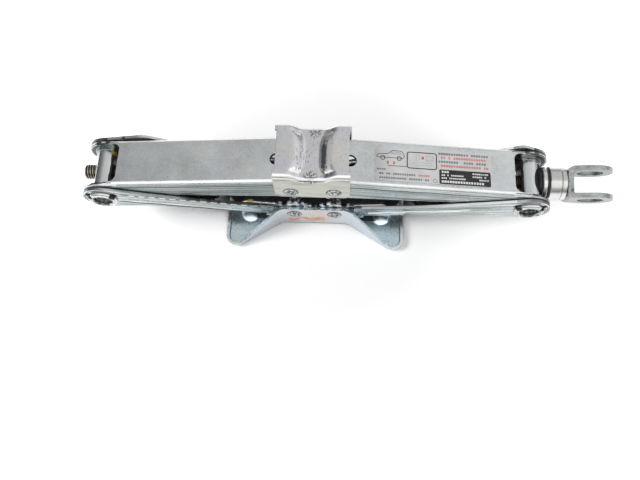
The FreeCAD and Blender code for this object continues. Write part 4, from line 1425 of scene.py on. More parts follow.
@dataclass
class SheetParts(Dresser):
    """Base, arms and brackets pressed from plated sheet."""

    arm_slope: float = 8.2
    web_slope: float = 5.62
    upper_inner: float = 17.15
    upper_outer: float = 19.65
    lower_inner: float = 19.85
    lower_outer: float = 22.5
    web_reach: float = 80.0
    ear_from: float = 151.0
    trunnion: Pair = (164.466, 41.794)
    pocket: Pair = (9.226, 5.991)
    base_zinc: Colour = (0.80, 0.92, 1.0)
    arm_zinc: Colour = (0.64, 0.66, 0.67)
    bracket_zinc: Colour = (0.75, 0.8, 0.82)
    # Colours of painted highlights and glints.
    bright: Colour = (0.97, 0.98, 1.0)
    glint: Colour = (0.98, 0.99, 1.0)

    def dress(self) -> None:
        """Give each pressed piece its finish."""
        self.give(MarkedBase(
            "Base zinc", self.base_zinc, rough=0.27, tint=0.25, patch=35.0, clouds=0.06, speck_share=0.02,
            grime_and_shade=0.1, grime_and_shade_reach=3.0, grain=0.04, dents=0.02, edge_light=0.9, edge_radius=0.7,
            # Painted shade on the floor of the base beneath the arms, and a painted shade patch on the rear
            # wall's top edge.
            zones=(Zone(0.0, self.upper_outer, 1.0, reach=48.0),),
            stains_and_painted_light=(StainAndPaintedLight((28.0, 21.0, 26.5), 9.0, BLACK, strength=0.95),)), "base_plate")
        for side in Side:
            self._dress_upper(side)
            self._dress_lower(side)
            self._dress_bracket(side)

    def _dress_upper(self, side: Side) -> None:
        """Bright plating on an upper arm, with painted shade inside and in the gaps beside its ears, and a
        painted highlight along the top edges of its ears.

        Args:
            side: Which half of the jack.
        """
        name, left = side.name.lower(), side is Side.LEFT
        axis = (side.value * self.trunnion[0], self.trunnion[1])
        rear = tuple(StainAndPaintedLight((side.value * x, y, 58.0), radius, (0.03, 0.033, 0.035), (1.0, 1.0, 1.2), 0.25,
                           0.85)
                     for x, y, radius in ((170.0, 18.4, 2.6), (161.5, 18.4, 2.4), (176.0, 18.6, 2.2)))
        # Painted shade inside the arm and in the gaps beside its ears; the pale zone is a painted highlight
        # along the ears' top edges.
        zones = (Zone(0.0, self.upper_inner, -1.0, reach=self.ear_from),
                 Zone(17.5, 19.2, 1.0, 0.3, 149.0, colour=(0.9, 0.92, 0.94), rough=0.3, strength=0.55,
                      ragged=1.5),
                 Zone(19.1, 19.8, 1.0, 0.2, self.ear_from, strength=0.9),
                 Zone(17.0, 17.6, 1.0, 0.2, self.ear_from, strength=0.9))
        self.give(Plating(
            "Upper arm zinc " + name, self.arm_zinc, rough=0.28,
            scratch_turn=(0.0, -self.web_slope * side.value, 0.0), grime_and_shade_reach=4.0, clouds=0.2,
            speck=1.0 if left else 0.5, speck_share=0.3 if left else 0.1,
            speck_density=620.0 if left else 420.0, flank_reflections=0.95, flank_reflection_dark=0.2,
            # The left arm's darker side tint and stronger bend highlight are painted light: the two copies
            # are lit differently.
            flank_reflection_tint=(0.6, 0.66, 0.65) if left else (0.93, 1.0, 0.985), edge_light=0.8,
            bend_light=1.0 if left else 0.42, zones=zones, lines=self._upper_lines(side),
            rings=(*self._ear_rings(side), Ring(axis, 12.4, 1.3)), stains_and_painted_light=rear), "upper_arm_" + name)

    def _dress_lower(self, side: Side) -> None:
        """Bright plating on a lower arm, with painted shade inside and in each staking pocket on its ears,
        and on the right arm a painted highlight along its outer top edge.

        Args:
            side: Which half of the jack.
        """
        name, left = side.name.lower(), side is Side.LEFT
        x, z = side.value * self.trunnion[0], self.trunnion[1]
        # Painted shade in the staking pocket hollows.
        pocket_shade = tuple(StainAndPaintedLight((x + off, y, z + self.pocket[1]), 3.1, BLACK, strength=0.95)
                        for off in (-self.pocket[0], self.pocket[0]) for y in (-21.9, 21.9))
        rims = tuple(StainAndPaintedLight((x + 14.0 * side.value, y, z - 3.0), 4.6, (0.2, 0.215, 0.215), (1.0, 1.0, 2.0),
                           0.35, 0.9, 0.75) for y in (-22.4, 22.4))
        # Painted shade inside the arm and in the slot beside the upper arm.
        zones = (Zone(0.0, self.lower_inner, 1.0, reach=self.web_reach),
                 Zone(0.0, self.lower_inner, 1.0, 0.3, 135.0),
                 Zone(self.lower_inner, 20.4, 1.0, 0.2, strength=0.9))
        # Painted highlight along the outer top edge.
        lit = Zone(20.4, self.lower_outer, 1.0, 0.3, 38.0, 152.0, self.bright, 0.3, strength=0.65)
        self.give(Plating(
            "Lower arm zinc " + name, self.arm_zinc, rough=0.26,
            scratch_turn=(0.0, self.arm_slope * side.value, 0.0), speck_share=0.12, grime_and_shade=0.9,
            grime_and_shade_reach=3.5, grain=0.3, clouds=0.2, flank_reflections=0.95, flank_reflection_dark=0.25,
            # The edge highlight is stronger on the right arm than on the left: the two copies are lit
            # differently.
            edge_light=0.45 if left else 0.8, zones=zones if left else (*zones, lit),
            rings=self._ear_rings(side), lines=self._lower_lines(side), stains_and_painted_light=pocket_shade + rims),
            "lower_arm_" + name)

    def _dress_bracket(self, side: Side) -> None:
        """Gear bracket with painted shade inside and between its teeth, and painted highlights along its
        edges and on its teeth.

        Args:
            side: Which half of the jack.
        """
        name = side.name.lower()
        # Painted shade inside, and a painted highlight along the top edges.
        inside = Zone(0.0, 18.5, 1.0, -0.6)
        edge = Zone(18.6, self.upper_outer + 0.2, 1.0, 0.3, 31.0, 90.0, (0.97, 0.99, 1.0), 0.3, strength=0.95)
        olive = StainAndPaintedLight((-50.0, -18.5, 35.5), 2.6, (0.55, 0.42, 0.05))
        through = (1.0, 40.0, 1.0)
        # Painted shade between the teeth, and painted glints on them.
        gaps = tuple(StainAndPaintedLight((side.value * x, 0.0, z), 2.4, BLACK, through, 0.2, 0.8, 0.92)
                     for x, z in ((4.3, 28.0), (9.5, 31.5), (16.0, 30.0), (23.5, 31.5), (30.0, 29.5)))
        tips = tuple(StainAndPaintedLight((side.value * x, 0.0, z), 1.7, self.glint, through, 0.15, 0.5)
                     for x, z in ((6.9, 31.0), (12.4, 35.0), (19.5, 33.5), (26.5, 33.5)))
        self.give(Plating(
            "Gear bracket zinc " + name, self.bracket_zinc, rough=0.16, grime_and_shade=0.5, grime_and_shade_reach=2.0,
            clouds=0.3, patch=300.0, dents=1.3, dent_density=420.0,
            scratch_turn=(0.0, self.arm_slope * side.value, 0.0),
            flank_reflections=0.9, flank_reflection_dark=0.1, zones=(inside, edge),
            stains_and_painted_light=gaps + tips + ((olive,) if side is Side.LEFT else ())), "gear_bracket_" + name)

    def _ear_rings(self, side: Side) -> tuple[Ring, ...]:
        """Painted highlight rings and dark rings round an ear, the highlights weaker on the left.

        Args:
            side: Which half of the jack.

        Returns:
            The rings, from the outermost in.
        """
        centre = (side.value * self.trunnion[0], self.trunnion[1])
        light = 0.3 if side is Side.LEFT else 0.5
        return (Ring(centre, 15.9, 0.6), Ring(centre, 14.7, 0.5, self.bright, 0.3, light),
                Ring(centre, 13.8, 0.6), Ring(centre, 12.7, 0.5, (0.95, 0.96, 0.97), 0.3, light))

    @staticmethod
    def _shade_line(height: float, start: float, end: float, width: float, strength: float = 0.9,
              turn: float | None = None) -> Line:
        """Dark line along an arm: painted shade and dark reflection along folds, beads and edges."""
        return Line(height, start, end, width, colour=BLACK, rough=0.5, strength=strength, turn=turn)

    def _upper_lines(self, side: Side) -> tuple[Line, ...]:
        """Painted shade and dark reflection lines along an upper arm's folds.

        Args:
            side: Which half of the jack.

        Returns:
            The lines.
        """
        whole, long, short = (sorted((side.value * a, side.value * b))
                              for a, b in ((8.0, 152.0), (36.0, 150.0), (36.0, 112.0)))
        fold = self.arm_slope * side.value
        return (self._shade_line(70.0, *whole, 0.9, 0.8), self._shade_line(66.5, *whole, 0.5, 0.4),
                self._shade_line(29.0, *long, 2.2, turn=fold), self._shade_line(31.2, *short, 2.2, turn=fold),
                self._shade_line(34.6, *short, 0.9, 0.7, fold), self._shade_line(38.0, *short, 0.6, 0.6, fold))

    def _lower_lines(self, side: Side) -> tuple[Line, ...]:
        """Painted highlight lines and painted shade lines along a lower arm's flanges, and bright dashes on
        the left one's edge: painted highlights on its shear marks.

        Args:
            side: Which half of the jack.

        Returns:
            The lines.
        """
        if side is Side.LEFT:
            return (self._shade_line(27.2, -158.0, -36.0, 1.5, 0.75), self._shade_line(24.6, -165.0, -42.0, 0.6, 0.75),
                    Line(27.0, -152.0, -36.0, 0.8, 7.9, 0.6, strength=0.8),
                    self._shade_line(22.2, -165.0, -60.0, 0.45, 0.55), Line(17.6, -150.0, -60.0),
                    self._shade_line(14.6, -160.0, -38.0, 1.3), self._shade_line(34.0, -160.0, -105.0, 0.8, 0.85),
                    self._shade_line(39.0, -165.0, -112.0, 0.7, 0.8))
        return (self._shade_line(23.0, 40.0, 145.0, 0.6, 0.7), Line(20.6, 40.0, 128.0, 1.1, strength=0.95),
                Line(14.4, 48.0, 64.0, strength=0.8), self._shade_line(12.0, 46.0, 140.0, 0.6, 0.5),
                self._shade_line(34.0, 105.0, 160.0, 0.8, 0.8))


@dataclass
class SaddleShell:
    """Saddle drawn from one sheet: its pads bulge towards the middle of the valley and flare at its ends."""

    effects: SurfaceEffects
    half_length: float = 28.1
    wall_outer: float = 22.3
    sheet: float = 2.5
    bend: float = 4.0
    top: float = 88.189
    skirt: float = 54.189
    corner: float = 5.0
    depth: float = 5.6
    waist: Pair = (4.0, 17.0)
    mouth: Pair = (8.0, 21.0)
    step_back: float = 1.4
    step_half_width: float = 16.5
    step_width: float = 0.1
    columns: int = 72
    wall_rows: int = 4
    bend_rows: int = 8
    top_rows: int = 14
    edge: float = 0.35
    edge_angle: float = 60.0
    sharp: float = 38.0
    # Painted reflections on the right slope of the valley: a light patch, a dark strip, and a patch that
    # darkens the slope's rear.
    slope_reflections: tuple[StainAndPaintedLight, ...] = (
        StainAndPaintedLight((12.2, -3.0, 87.0), 4.6, (0.42, 0.41, 0.42), (0.42, 3.0, 1.0), 0.4, 0.2, 0.7),
        StainAndPaintedLight((8.2, -3.0, 84.8), 5.2, (0.004, 0.004, 0.004), (0.42, 2.7, 1.2), 0.5, 0.0, 0.95),
        StainAndPaintedLight((10.5, 14.5, 85.0), 4.4, (0.13, 0.125, 0.12), (0.8, 1.0, 1.0), 0.5, 0.4, 0.8))

    def build(self) -> None:
        """Form the sheet, give it its thickness and put it in place of the plain solid."""
        bm = bmesh.new()
        grid = [[bm.verts.new(metres(point)) for point in row] for row in self._rows()]
        for low, high in zip(grid, grid[1:]):
            Workshop.skin(bm, low, high, closed=False)
        raw = Workshop.keep(bm, "saddle_raw")
        wall = raw.modifiers.new("Sheet", "SOLIDIFY")
        wall.thickness = self.sheet * MM
        wall.offset = -1.0
        wall.use_even_offset = True
        rounded = raw.modifiers.new("Edges", "BEVEL")
        rounded.width = self.edge * MM
        rounded.segments = 2
        rounded.angle_limit = math.radians(self.edge_angle)
        piece = Workshop.settle("saddle_shell", raw)
        Workshop.smooth(piece.data, self.sharp)
        finish = PressedSaddle(
            "Saddle zinc", (0.70, 0.665, 0.69), rough=0.2, tint=0.5, patch=30.0, clouds=0.1, bend_light=0.75,
            scratch=0.3, scratch_share=0.2, scratch_turn=ACROSS_Y, speck_share=0.5, speck=0.9,
            speck_density=620.0, grime_and_shade=0.5, grime_and_shade_reach=3.0, dents=0.12, dent_density=60.0, grain=0.05,
            stains_and_painted_light=self.slope_reflections)
        Workshop.dress(piece, finish.build(self.effects))
        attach(piece, Body.HEAD.value)
        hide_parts("saddle")
        LOG.info("formed the saddle")

    def _height(self, x: float, y: float) -> float:
        """Height of the top sheet over a place: the valley rises steeply from its floor and eases out.

        Args:
            x: Place along the saddle.
            y: Place across it.

        Returns:
            The height, in millimetres.
        """
        flare = min(1.0, abs(y) / self.step_half_width) ** 4
        low, high = (w + (m - w) * flare for w, m in zip(self.waist, self.mouth))
        share = min(1.0, max(0.0, (abs(x) - low) / (high - low)))
        return self.top - self.depth * (1.0 - share) ** 3 * (1.0 + 3.0 * share)

    def _rows(self) -> list[list[Point]]:
        """Points of the outer skin, row by row from the front wall over the top to the rear wall.

        Returns:
            The rows, each from left to right.
        """
        flat = self.wall_outer - self.bend
        turns = [math.radians(90.0 * k / self.bend_rows) for k in range(self.bend_rows, 0, -1)]
        across = {flat * k / self.top_rows for k in range(self.top_rows + 1)}
        across |= {self.step_half_width, self.step_half_width + self.step_width}
        front = [self._wall_row(k / self.wall_rows) for k in range(self.wall_rows)]
        front += [self._bend_row(turn) for turn in turns]
        front += [self._top_row(y) for y in sorted(across, reverse=True)]
        return front + [[(x, -y, z) for x, y, z in row] for row in reversed(front[:-1])]

    def _stations(self, limit: float) -> list[float]:
        """Places along the saddle, out to a limit each way."""
        return [limit * (2.0 * i / self.columns - 1.0) for i in range(self.columns + 1)]

    def _wall_row(self, share: float) -> list[Point]:
        """Make one row of the front wall.

        Args:
            share: How far up it lies, from the rounded foot at 0 to the bend at 1.

        Returns:
            The row's points.
        """
        row = []
        for x in self._stations(self.half_length):
            past = max(0.0, abs(x) - (self.half_length - self.corner))
            foot = self.skirt + self.corner - math.sqrt(max(0.0, self.corner ** 2 - past ** 2))
            head = self._height(x, self.wall_outer) - self.bend
            row.append((x, -self.wall_outer, foot + (head - foot) * share))
        return row

    def _bend_row(self, turn: float) -> list[Point]:
        """Make one row of the front bend.

        Args:
            turn: Angle of the row from the top, in radians.

        Returns:
            The row's points.
        """
        y = self.wall_outer - self.bend + self.bend * math.sin(turn)
        drop = self.bend * (1.0 - math.cos(turn))
        return [(x, -y, self._height(x, y) - drop) for x in self._stations(self.half_length)]

    def _top_row(self, y: float) -> list[Point]:
        """One row of the top, shorter where its ends are stepped back."""
        limit = self.half_length - (self.step_back if y <= self.step_half_width else 0.0)
        return [(x, -y, self._height(x, y)) for x in self._stations(limit)]


@dataclass
class PinsAndTrunnions(Dresser):
    """Rivets, cross trunnions and their washers."""

    pin_x: float = 16.0
    base_pin_z: float = 20.4
    saddle_pin_z: float = 63.189
    trunnion_x: float = 164.466
    trunnion_z: float = 41.794
    shade_margin: float = 4.6

    def dress(self) -> None:
        """Give pins, trunnions and washers their finish."""
        heads = tuple((x, z) for x in (-self.pin_x, self.pin_x) for z in (self.base_pin_z, self.saddle_pin_z))
        self.give(HammeredRivet(
            "Rivet zinc", (0.60, 0.61, 0.60), rough=0.28, dents=0.9, dent_density=320.0, speck_share=0.3,
            speck=0.8, speck_density=600.0, grime_and_shade=0.7, grime_and_shade_reach=2.5, heads=heads),
            "base_pin_left", "base_pin_right", "saddle_pin_left", "saddle_pin_right")
        self.give(Plating(
            "Washer zinc", (0.66, 0.68, 0.68), rough=0.2, grime_and_shade=0.7, grime_and_shade_reach=1.5, speck_share=0.05,
            edge_light=0.9), *("trunnion_washer_%s_%s" % (side.name.lower(), end)
                               for side in Side for end in ("front", "rear")))
        # Painted shade on the trunnions' inner ends between the arms.
        inner = Zone(-1.0, 17.0, 1.0, -1.1, reach=self.trunnion_x - self.shade_margin, ragged=0.5)
        olive = StainAndPaintedLight((-self.trunnion_x + 5.0, 13.0, self.trunnion_z + 6.0), 2.7, (0.46, 0.40, 0.06),
                      (0.9, 0.8, 1.4))
        for side, node, spots in ((Side.LEFT, "nut_trunnion", (olive,)),
                                  (Side.RIGHT, "bearing_trunnion", ())):
            # Painted shade in the cup at each end of a trunnion.
            cup_shade = tuple(StainAndPaintedLight((side.value * self.trunnion_x, y, self.trunnion_z), 8.0, (0.045, 0.05, 0.05),
                               (1.0, 0.8, 1.0), 0.25, 0.8, 0.9) for y in (-25.0, 25.0))
            self.give(Plating(
                "Trunnion zinc " + side.name.lower(), (0.64, 0.65, 0.66), rough=0.2, clouds=0.08,
                scratch_turn=ACROSS_Y, grime_and_shade=0.8, grime_and_shade_reach=3.0, speck_share=0.06, flank_reflections=0.6,
                zones=(inner,), stains_and_painted_light=spots + cup_shade), node)


@dataclass
class ThrustStack(Dresser):
    """Thrust bearing, cap and spacer between the trunnion and the clevis."""

    dark_share: float = 0.28
    shade_radius: float = 40.0

    def dress(self) -> None:
        """Give the turned rings, the cage and the balls their finish."""
        turned = dict(scratch_turn=ACROSS_Y, speck_share=0.04, grime_and_shade_reach=2.0)
        low, high = ([v / MM for v in corner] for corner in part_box("fixed_race"))
        squeeze = self.dark_share * (high[0] - low[0]) / self.shade_radius
        shade = StainAndPaintedLight((low[0], 0.5 * (low[1] + high[1]), 0.5 * (low[2] + high[2])), self.shade_radius,
                      (0.012, 0.012, 0.012), (squeeze, 1.0, 1.0), strength=0.95)
        self.give(PlainCoat("Black oxide", (0.008, 0.008, 0.009), rough=0.4, metal=0.3), "thrust_seat")
        self.give(PlainCoat("Cage plastic", (0.015, 0.015, 0.016), rough=0.45), "ball_cage")
        self.give(Plating("Bearing balls", (0.7, 0.7, 0.7), rough=0.12, clouds=0.03, grime_and_shade=0.5),
                  "thrust_balls")
        self.give(Plating("Fixed race steel", (0.66, 0.66, 0.65), rough=0.22, grime_and_shade=0.5, stains_and_painted_light=(shade,),
                          **turned), "fixed_race")
        self.give(Plating("Bearing cap steel", (0.59, 0.59, 0.575), rough=0.24, grime_and_shade=0.4, **turned),
                  "bearing_cap")
        self.give(Plating("Spacer steel", (0.61, 0.61, 0.58), rough=0.26, grime_and_shade=0.4, **turned), "spacer_ring")


@dataclass
class ThreadedScrew:
    """Lead screw with a right-hand thread and a peened end."""

    effects: SurfaceEffects
    axis_z: float = 41.794
    pitch: float = 2.0
    crest: float = 6.0
    root: float = 4.95
    steps_per_turn: int = 8
    steps_around: int = 28
    thread_end: float = 168.0
    thread_sharp: float = 40.0
    chamfer: float = 0.9
    weld: float = 2e-6
    shank_play: float = 0.02
    peen_radius: float = 8.5
    peen_rise: float = 1.8
    peen_steps: int = 8
    end_steps: int = 40
    end_sharp: float = 35.0
    # Colour of the shade painted over the screw between the arms.
    screw_shade: Colour = (0.06, 0.052, 0.042)

    def build(self) -> None:
        """Cut the thread, add the peened end and hide the plain solid."""
        low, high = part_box("lead_screw")
        start, end = low[0] / MM, high[0] / MM
        steel = ThreadedSteel(
            "Screw steel", (0.42, 0.37, 0.29), rough=0.25, tint=0.2, clouds=0.2, patch=80.0, grime_and_shade=0.3,
            grime_and_shade_reach=1.2, grime_and_shade_colour=(0.02, 0.015, 0.01), edge_light=0.1, scratch_turn=ACROSS_Y,
            axis_z=self.axis_z,
            # Painted shade over the screw where it runs between the arms.
            zones=(Zone(0.0, 12.0, 1.0, -1.1, -5.0, 160.0, self.screw_shade, 0.35, 0.6, 0.9),)).build(self.effects)
        rows = int((self.thread_end - start) / self.pitch + 2) * self.steps_per_turn + 1
        values = {"Rows": rows, "Around": self.steps_around + 1, "Start": start * MM,
                  "End": self.thread_end * MM, "Pitch": self.pitch * MM, "Crest": self.crest * MM,
                  "Root": self.root * MM, "Chamfer": self.chamfer * MM, "Material": steel}
        screw = Workshop.grow("lead_screw_thread", self._tree(), values,
                              Matrix.Translation((0.0, 0.0, self.axis_z * MM)))
        Workshop.smooth(screw.data, self.thread_sharp)
        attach(screw, Body.SCREW.value)
        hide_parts("lead_screw")

        peen = self._peened_end(end)
        Workshop.dress(peen, steel)
        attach(peen, Body.SCREW.value)
        LOG.info("threaded screw: %d rows, %.1f mm long", rows, self.thread_end - start)

    def _peened_end(self, end: float) -> Piece:
        """Turn the plain shank in the stack and the peened dome in the clevis.

        Args:
            end: Far end of the screw, in millimetres.

        Returns:
            The turned piece.
        """
        seat = end - self.peen_rise
        ball = (self.peen_radius ** 2 + self.peen_rise ** 2) / (2.0 * self.peen_rise)
        shank = self.crest - self.shank_play
        profile = [(self.thread_end, 0.0), (self.thread_end, shank), (seat, shank), (seat, self.peen_radius)]
        for i in range(self.peen_steps + 1):
            radius = self.peen_radius * (1.0 - i / self.peen_steps)
            rise = math.sqrt(max(0.0, ball ** 2 - radius ** 2)) - (ball - self.peen_rise)
            profile.append((seat + rise, radius))
        return Workshop.lathe("lead_screw_end", profile, self.axis_z, self.end_steps, self.end_sharp)

    def _tree(self) -> Tree:
        """Grid whose rows follow the helix, wrapped round the axis.

        Returns:
            The geometry-node tree.
        """
        g = FieldGraph("Helical thread", dict(Rows=100, Around=29, Start=0.0, End=0.1, Pitch=0.002,
                                              Crest=0.006, Root=0.005, Chamfer=0.001))
        _, rows, around, start, end, pitch, crest, root, chamfer, _ = g.given()
        flat_x, flat_y, _ = g.split(g.add("GeometryNodeInputPosition").outputs[0])
        last = g.math("SUBTRACT", rows, 1.0)
        row = g.math("ROUND", g.times(g.math("ADD", flat_x, 0.5), last))
        share = g.math("ADD", flat_y, 0.5)
        turn = g.times(share, 2.0 * math.pi)
        phase = g.math("DIVIDE", row, float(self.steps_per_turn))
        wave = g.apart(g.times(g.math("FRACT", phase), 2.0), 1.0)
        radius = g.math("ADD", root, g.times(g.span(wave, 0.15, 0.85), g.math("SUBTRACT", crest, root)))
        free = g.times(g.math("ADD", g.math("SUBTRACT", phase, 1.0), share), pitch)
        x = g.math("MINIMUM", g.math("MAXIMUM", g.math("ADD", free, start), start), end)
        room = g.math("ADD", g.math("SUBTRACT", x, start), g.math("SUBTRACT", crest, chamfer))
        inner = g.within(row, 0.5, g.math("SUBTRACT", last, 0.5))
        radius = g.times(g.math("MINIMUM", radius, room), inner)
        where = g.join(x, g.times(radius, g.math("COSINE", turn)), g.times(radius, g.math("SINE", turn)))
        moved = g.fill(g.add("GeometryNodeSetPosition"), Geometry=g.grid(rows, around), Position=where)
        welded = g.fill(g.add("GeometryNodeMergeByDistance"), Geometry=moved.outputs[0], Distance=self.weld)
        g.finish(welded.outputs[0])
        return g.tree


@dataclass
class Clevis(Dresser):
    """Forked end that a crank hooks into."""

    def dress(self) -> None:
        """Pitted plating, lighter at the edges as wear and as a painted highlight."""
        red = StainAndPaintedLight((207.0, 14.0, 45.0), 1.6, (0.6, 0.1, 0.06), (1.0, 1.0, 1.0), 0.5, 0.1, 0.8)
        dark = tuple(StainAndPaintedLight((197.0, y, 50.0), 3.4, (0.05, 0.052, 0.055), (1.0, 0.7, 1.6), 0.4, 0.6, 0.75)
                     for y in (-9.5, 9.5))
        self.give(Plating(
            "Clevis zinc", (0.305, 0.32, 0.32), rough=0.27, clouds=0.35, patch=130.0, speck_share=0.4,
            speck=0.8, speck_density=600.0, edge_light=0.95, edge_radius=0.9, dents=0.6, dent_density=240.0,
            grime_and_shade=1.0, stains_and_painted_light=(*dark, red)), "clevis")


class Ink(Enum):
    """Inks of the sticker."""

    BLACK = PlainCoat("Black ink", (0.018, 0.018, 0.02), rough=0.6)
    GREY = PlainCoat("Grey ink", (0.22, 0.22, 0.23), rough=0.35)
    FAINT = PlainCoat("Faint ink", (0.42, 0.42, 0.43), rough=0.35)
    PINK = PlainCoat("Pale red ink", (0.68, 0.24, 0.22), rough=0.35)
    RED = PlainCoat("Red ink", (0.62, 0.09, 0.07), rough=0.35)
    WHITE = PlainCoat("White ink", (0.8, 0.8, 0.79), rough=0.35)


@dataclass(frozen=True)
class BarField:
    """A row of printed blocks on the sticker, from its left end and low edge, in millimetres."""

    name: str
    left: float
    right: float
    low: float
    ink: Ink
    height: float = 1.8
    step: float = 1.9
    kept: float = 0.9
    widths: Pair = (0.6, 0.9)


@dataclass(frozen=True)
class Outline:
    """A closed printed line on the sticker, counter-clockwise through corners in millimetres."""

    name: str
    corners: tuple[Pair, ...]
    ink: Ink
    width: float = 0.45
    filled: bool = False
    blend: float = 1.2
    arc_steps: int = 6

    def outer(self) -> list[Vector]:
        """Round the corners.

        Returns:
            The points of the line.
        """
        points = []
        for i, corner in enumerate(self.corners):
            here = Vector(corner)
            start = here + (Vector(self.corners[i - 1]) - here).normalized() * self.blend
            end = here + (Vector(self.corners[(i + 1) % len(self.corners)]) - here).normalized() * self.blend
            for k in range(self.arc_steps + 1):
                t = k / self.arc_steps
                points.append((1 - t) ** 2 * start + 2 * t * (1 - t) * here + t ** 2 * end)
        return points

    def inner(self, outer: Sequence[Vector]) -> list[Vector]:
        """Move each point of the line inwards by its width.

        Args:
            outer: The points of the line.

        Returns:
            The moved points.
        """
        moved = []
        for i, point in enumerate(outer):
            run = outer[(i + 1) % len(outer)] - outer[i - 1]
            moved.append(point + Vector((-run.y, run.x)).normalized() * self.width)
        return moved


def rectangle(left: float, low: float, right: float, high: float) -> tuple[Pair, ...]:
    """Corners of an upright rectangle, counter-clockwise from its lower left."""
    return (left, low), (right, low), (right, high), (left, high)


@dataclass
class Sticker(Dresser):
    """Vinyl sticker with plain bars and blocks in place of print."""

    thickness: float = 0.25
    lift: float = 0.04
    shapes: tuple[Outline, ...] = (
        Outline("block", rectangle(48.2, 0.4, 86.9, 12.2), Ink.BLACK, filled=True),
        Outline("panel", rectangle(23.9, 11.3, 46.6, 25.2), Ink.BLACK, 0.75, blend=2.4),
        Outline("panel_mark", rectangle(35.0, 19.4, 36.8, 21.6), Ink.RED, filled=True, blend=0.3),
        Outline("panel_left", rectangle(30.8, 18.4, 33.6, 23.0), Ink.FAINT, 0.3, blend=0.5),
        Outline("panel_right", rectangle(38.4, 18.4, 43.6, 22.4), Ink.FAINT, 0.3, blend=0.5),
        Outline("panel_low", rectangle(28.6, 14.2, 42.8, 16.6), Ink.FAINT, 0.3, blend=0.9),
        Outline("shape", ((1.3, 19.0), (21.6, 18.9), (22.4, 21.6), (20.3, 25.1), (13.2, 25.5), (9.9, 22.6),
                          (3.4, 22.2), (1.1, 20.8)), Ink.BLACK, blend=0.8),
        Outline("shape_inner", ((11.8, 22.5), (19.9, 22.3), (18.7, 24.0), (13.7, 24.2)), Ink.GREY, 0.3,
                blend=0.3),
        Outline("ring_left", rectangle(4.1, 17.0, 7.7, 20.6), Ink.BLACK, 0.6, blend=1.79),
        Outline("ring_right", rectangle(16.4, 17.0, 20.0, 20.6), Ink.BLACK, 0.6, blend=1.79),
        Outline("ring_small", rectangle(43.4, 0.8, 46.6, 4.0), Ink.GREY, 0.4, blend=1.59),
        Outline("mark_left", rectangle(9.2, 13.6, 10.3, 16.4), Ink.RED, filled=True, blend=0.2),
        Outline("mark_right", rectangle(13.8, 13.6, 14.9, 16.4), Ink.RED, filled=True, blend=0.2),
        Outline("leader", rectangle(9.6, 12.3, 24.0, 12.75), Ink.BLACK, filled=True, blend=0.1))
    rows: tuple[BarField, ...] = (
        BarField("row_first", 47.6, 86.4, 24.2, Ink.GREY),
        BarField("row_second", 49.4, 85.0, 21.0, Ink.PINK),
        BarField("row_third", 47.6, 84.6, 17.7, Ink.GREY),
        BarField("row_fourth", 49.4, 86.4, 14.4, Ink.PINK),
        BarField("row_short", 1.6, 9.6, 8.7, Ink.GREY, height=1.3, step=1.7),
        BarField("row_fifth", 1.6, 32.0, 5.2, Ink.GREY, height=1.5, step=1.7),
        BarField("row_red_end", 32.6, 42.0, 5.2, Ink.PINK, height=1.5, step=1.7),
        BarField("row_sixth", 1.6, 42.0, 1.8, Ink.GREY, height=1.5, step=1.7),
        BarField("block_bold", 49.8, 56.0, 9.5, Ink.WHITE, height=1.7, kept=1.0, widths=(0.7, 0.9)),
        BarField("block_right", 73.0, 86.0, 9.5, Ink.WHITE, height=1.2, step=1.5),
        BarField("block_second", 49.8, 67.0, 7.1, Ink.WHITE, height=1.2, step=1.4),
        BarField("block_second_end", 73.0, 86.0, 7.1, Ink.WHITE, height=1.2, step=1.5),
        BarField("block_third", 49.8, 69.0, 4.7, Ink.WHITE, height=1.2, step=1.4),
        BarField("block_third_end", 75.0, 86.0, 4.7, Ink.WHITE, height=1.2, step=1.5),
        BarField("block_low", 49.8, 82.0, 1.6, Ink.WHITE, step=2.0))

    def build(self) -> None:
        """Dress the sticker and lay its print on it."""
        self.give(PlainCoat("Sticker film", (0.66, 0.66, 0.665), rough=0.3, grime_and_shade=0.5, speck=0.5),
                  "label_plate")
        inks = {ink: ink.value.build(self.effects) for ink in Ink}
        place = self._place()
        for shape in self.shapes:
            piece = self._line_piece(shape, place)
            Workshop.dress(piece, inks[shape.ink])
            self._keep(piece)
        tree = self._bar_tree()
        for seed, bars in enumerate(self.rows):
            level = self.lift * (2.0 if bars.ink is Ink.WHITE else 1.0)
            values = {"Count": int((bars.right - bars.left) / bars.step), "Step": bars.step * MM,
                      "Height": bars.height * MM, "Kept": bars.kept, "Narrow": bars.widths[0],
                      "Wide": bars.widths[1], "Seed": seed, "Material": inks[bars.ink]}
            where = place @ Matrix.Translation(metres((bars.left, bars.low, level)))
            self._keep(Workshop.grow("sticker_" + bars.name, tree, values, where))
        LOG.info("printed the sticker")

    @staticmethod
    def _keep(piece: Piece) -> None:
        """Let a printed piece ride with the arm that carries the sticker."""
        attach(piece, Body.UPPER_RIGHT.value)

    def _place(self) -> Matrix:
        """Find the frame of the sticker's top face, with its origin at the lower left corner.

        Returns:
            The frame.
        """
        low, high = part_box("label_plate")
        slope = math.atan2((high[2] - low[2]) - self.thickness * MM, high[0] - low[0])
        along = Vector((math.cos(slope), 0.0, -math.sin(slope)))
        out = Vector((math.sin(slope), 0.0, math.cos(slope)))
        corner = Vector((low[0], low[1], high[2]))
        corner.x += self.thickness * MM * math.sin(slope)
        across = Vector((0.0, 1.0, 0.0))
        return Matrix.Translation(corner) @ Matrix((along, across, out)).transposed().to_4x4()

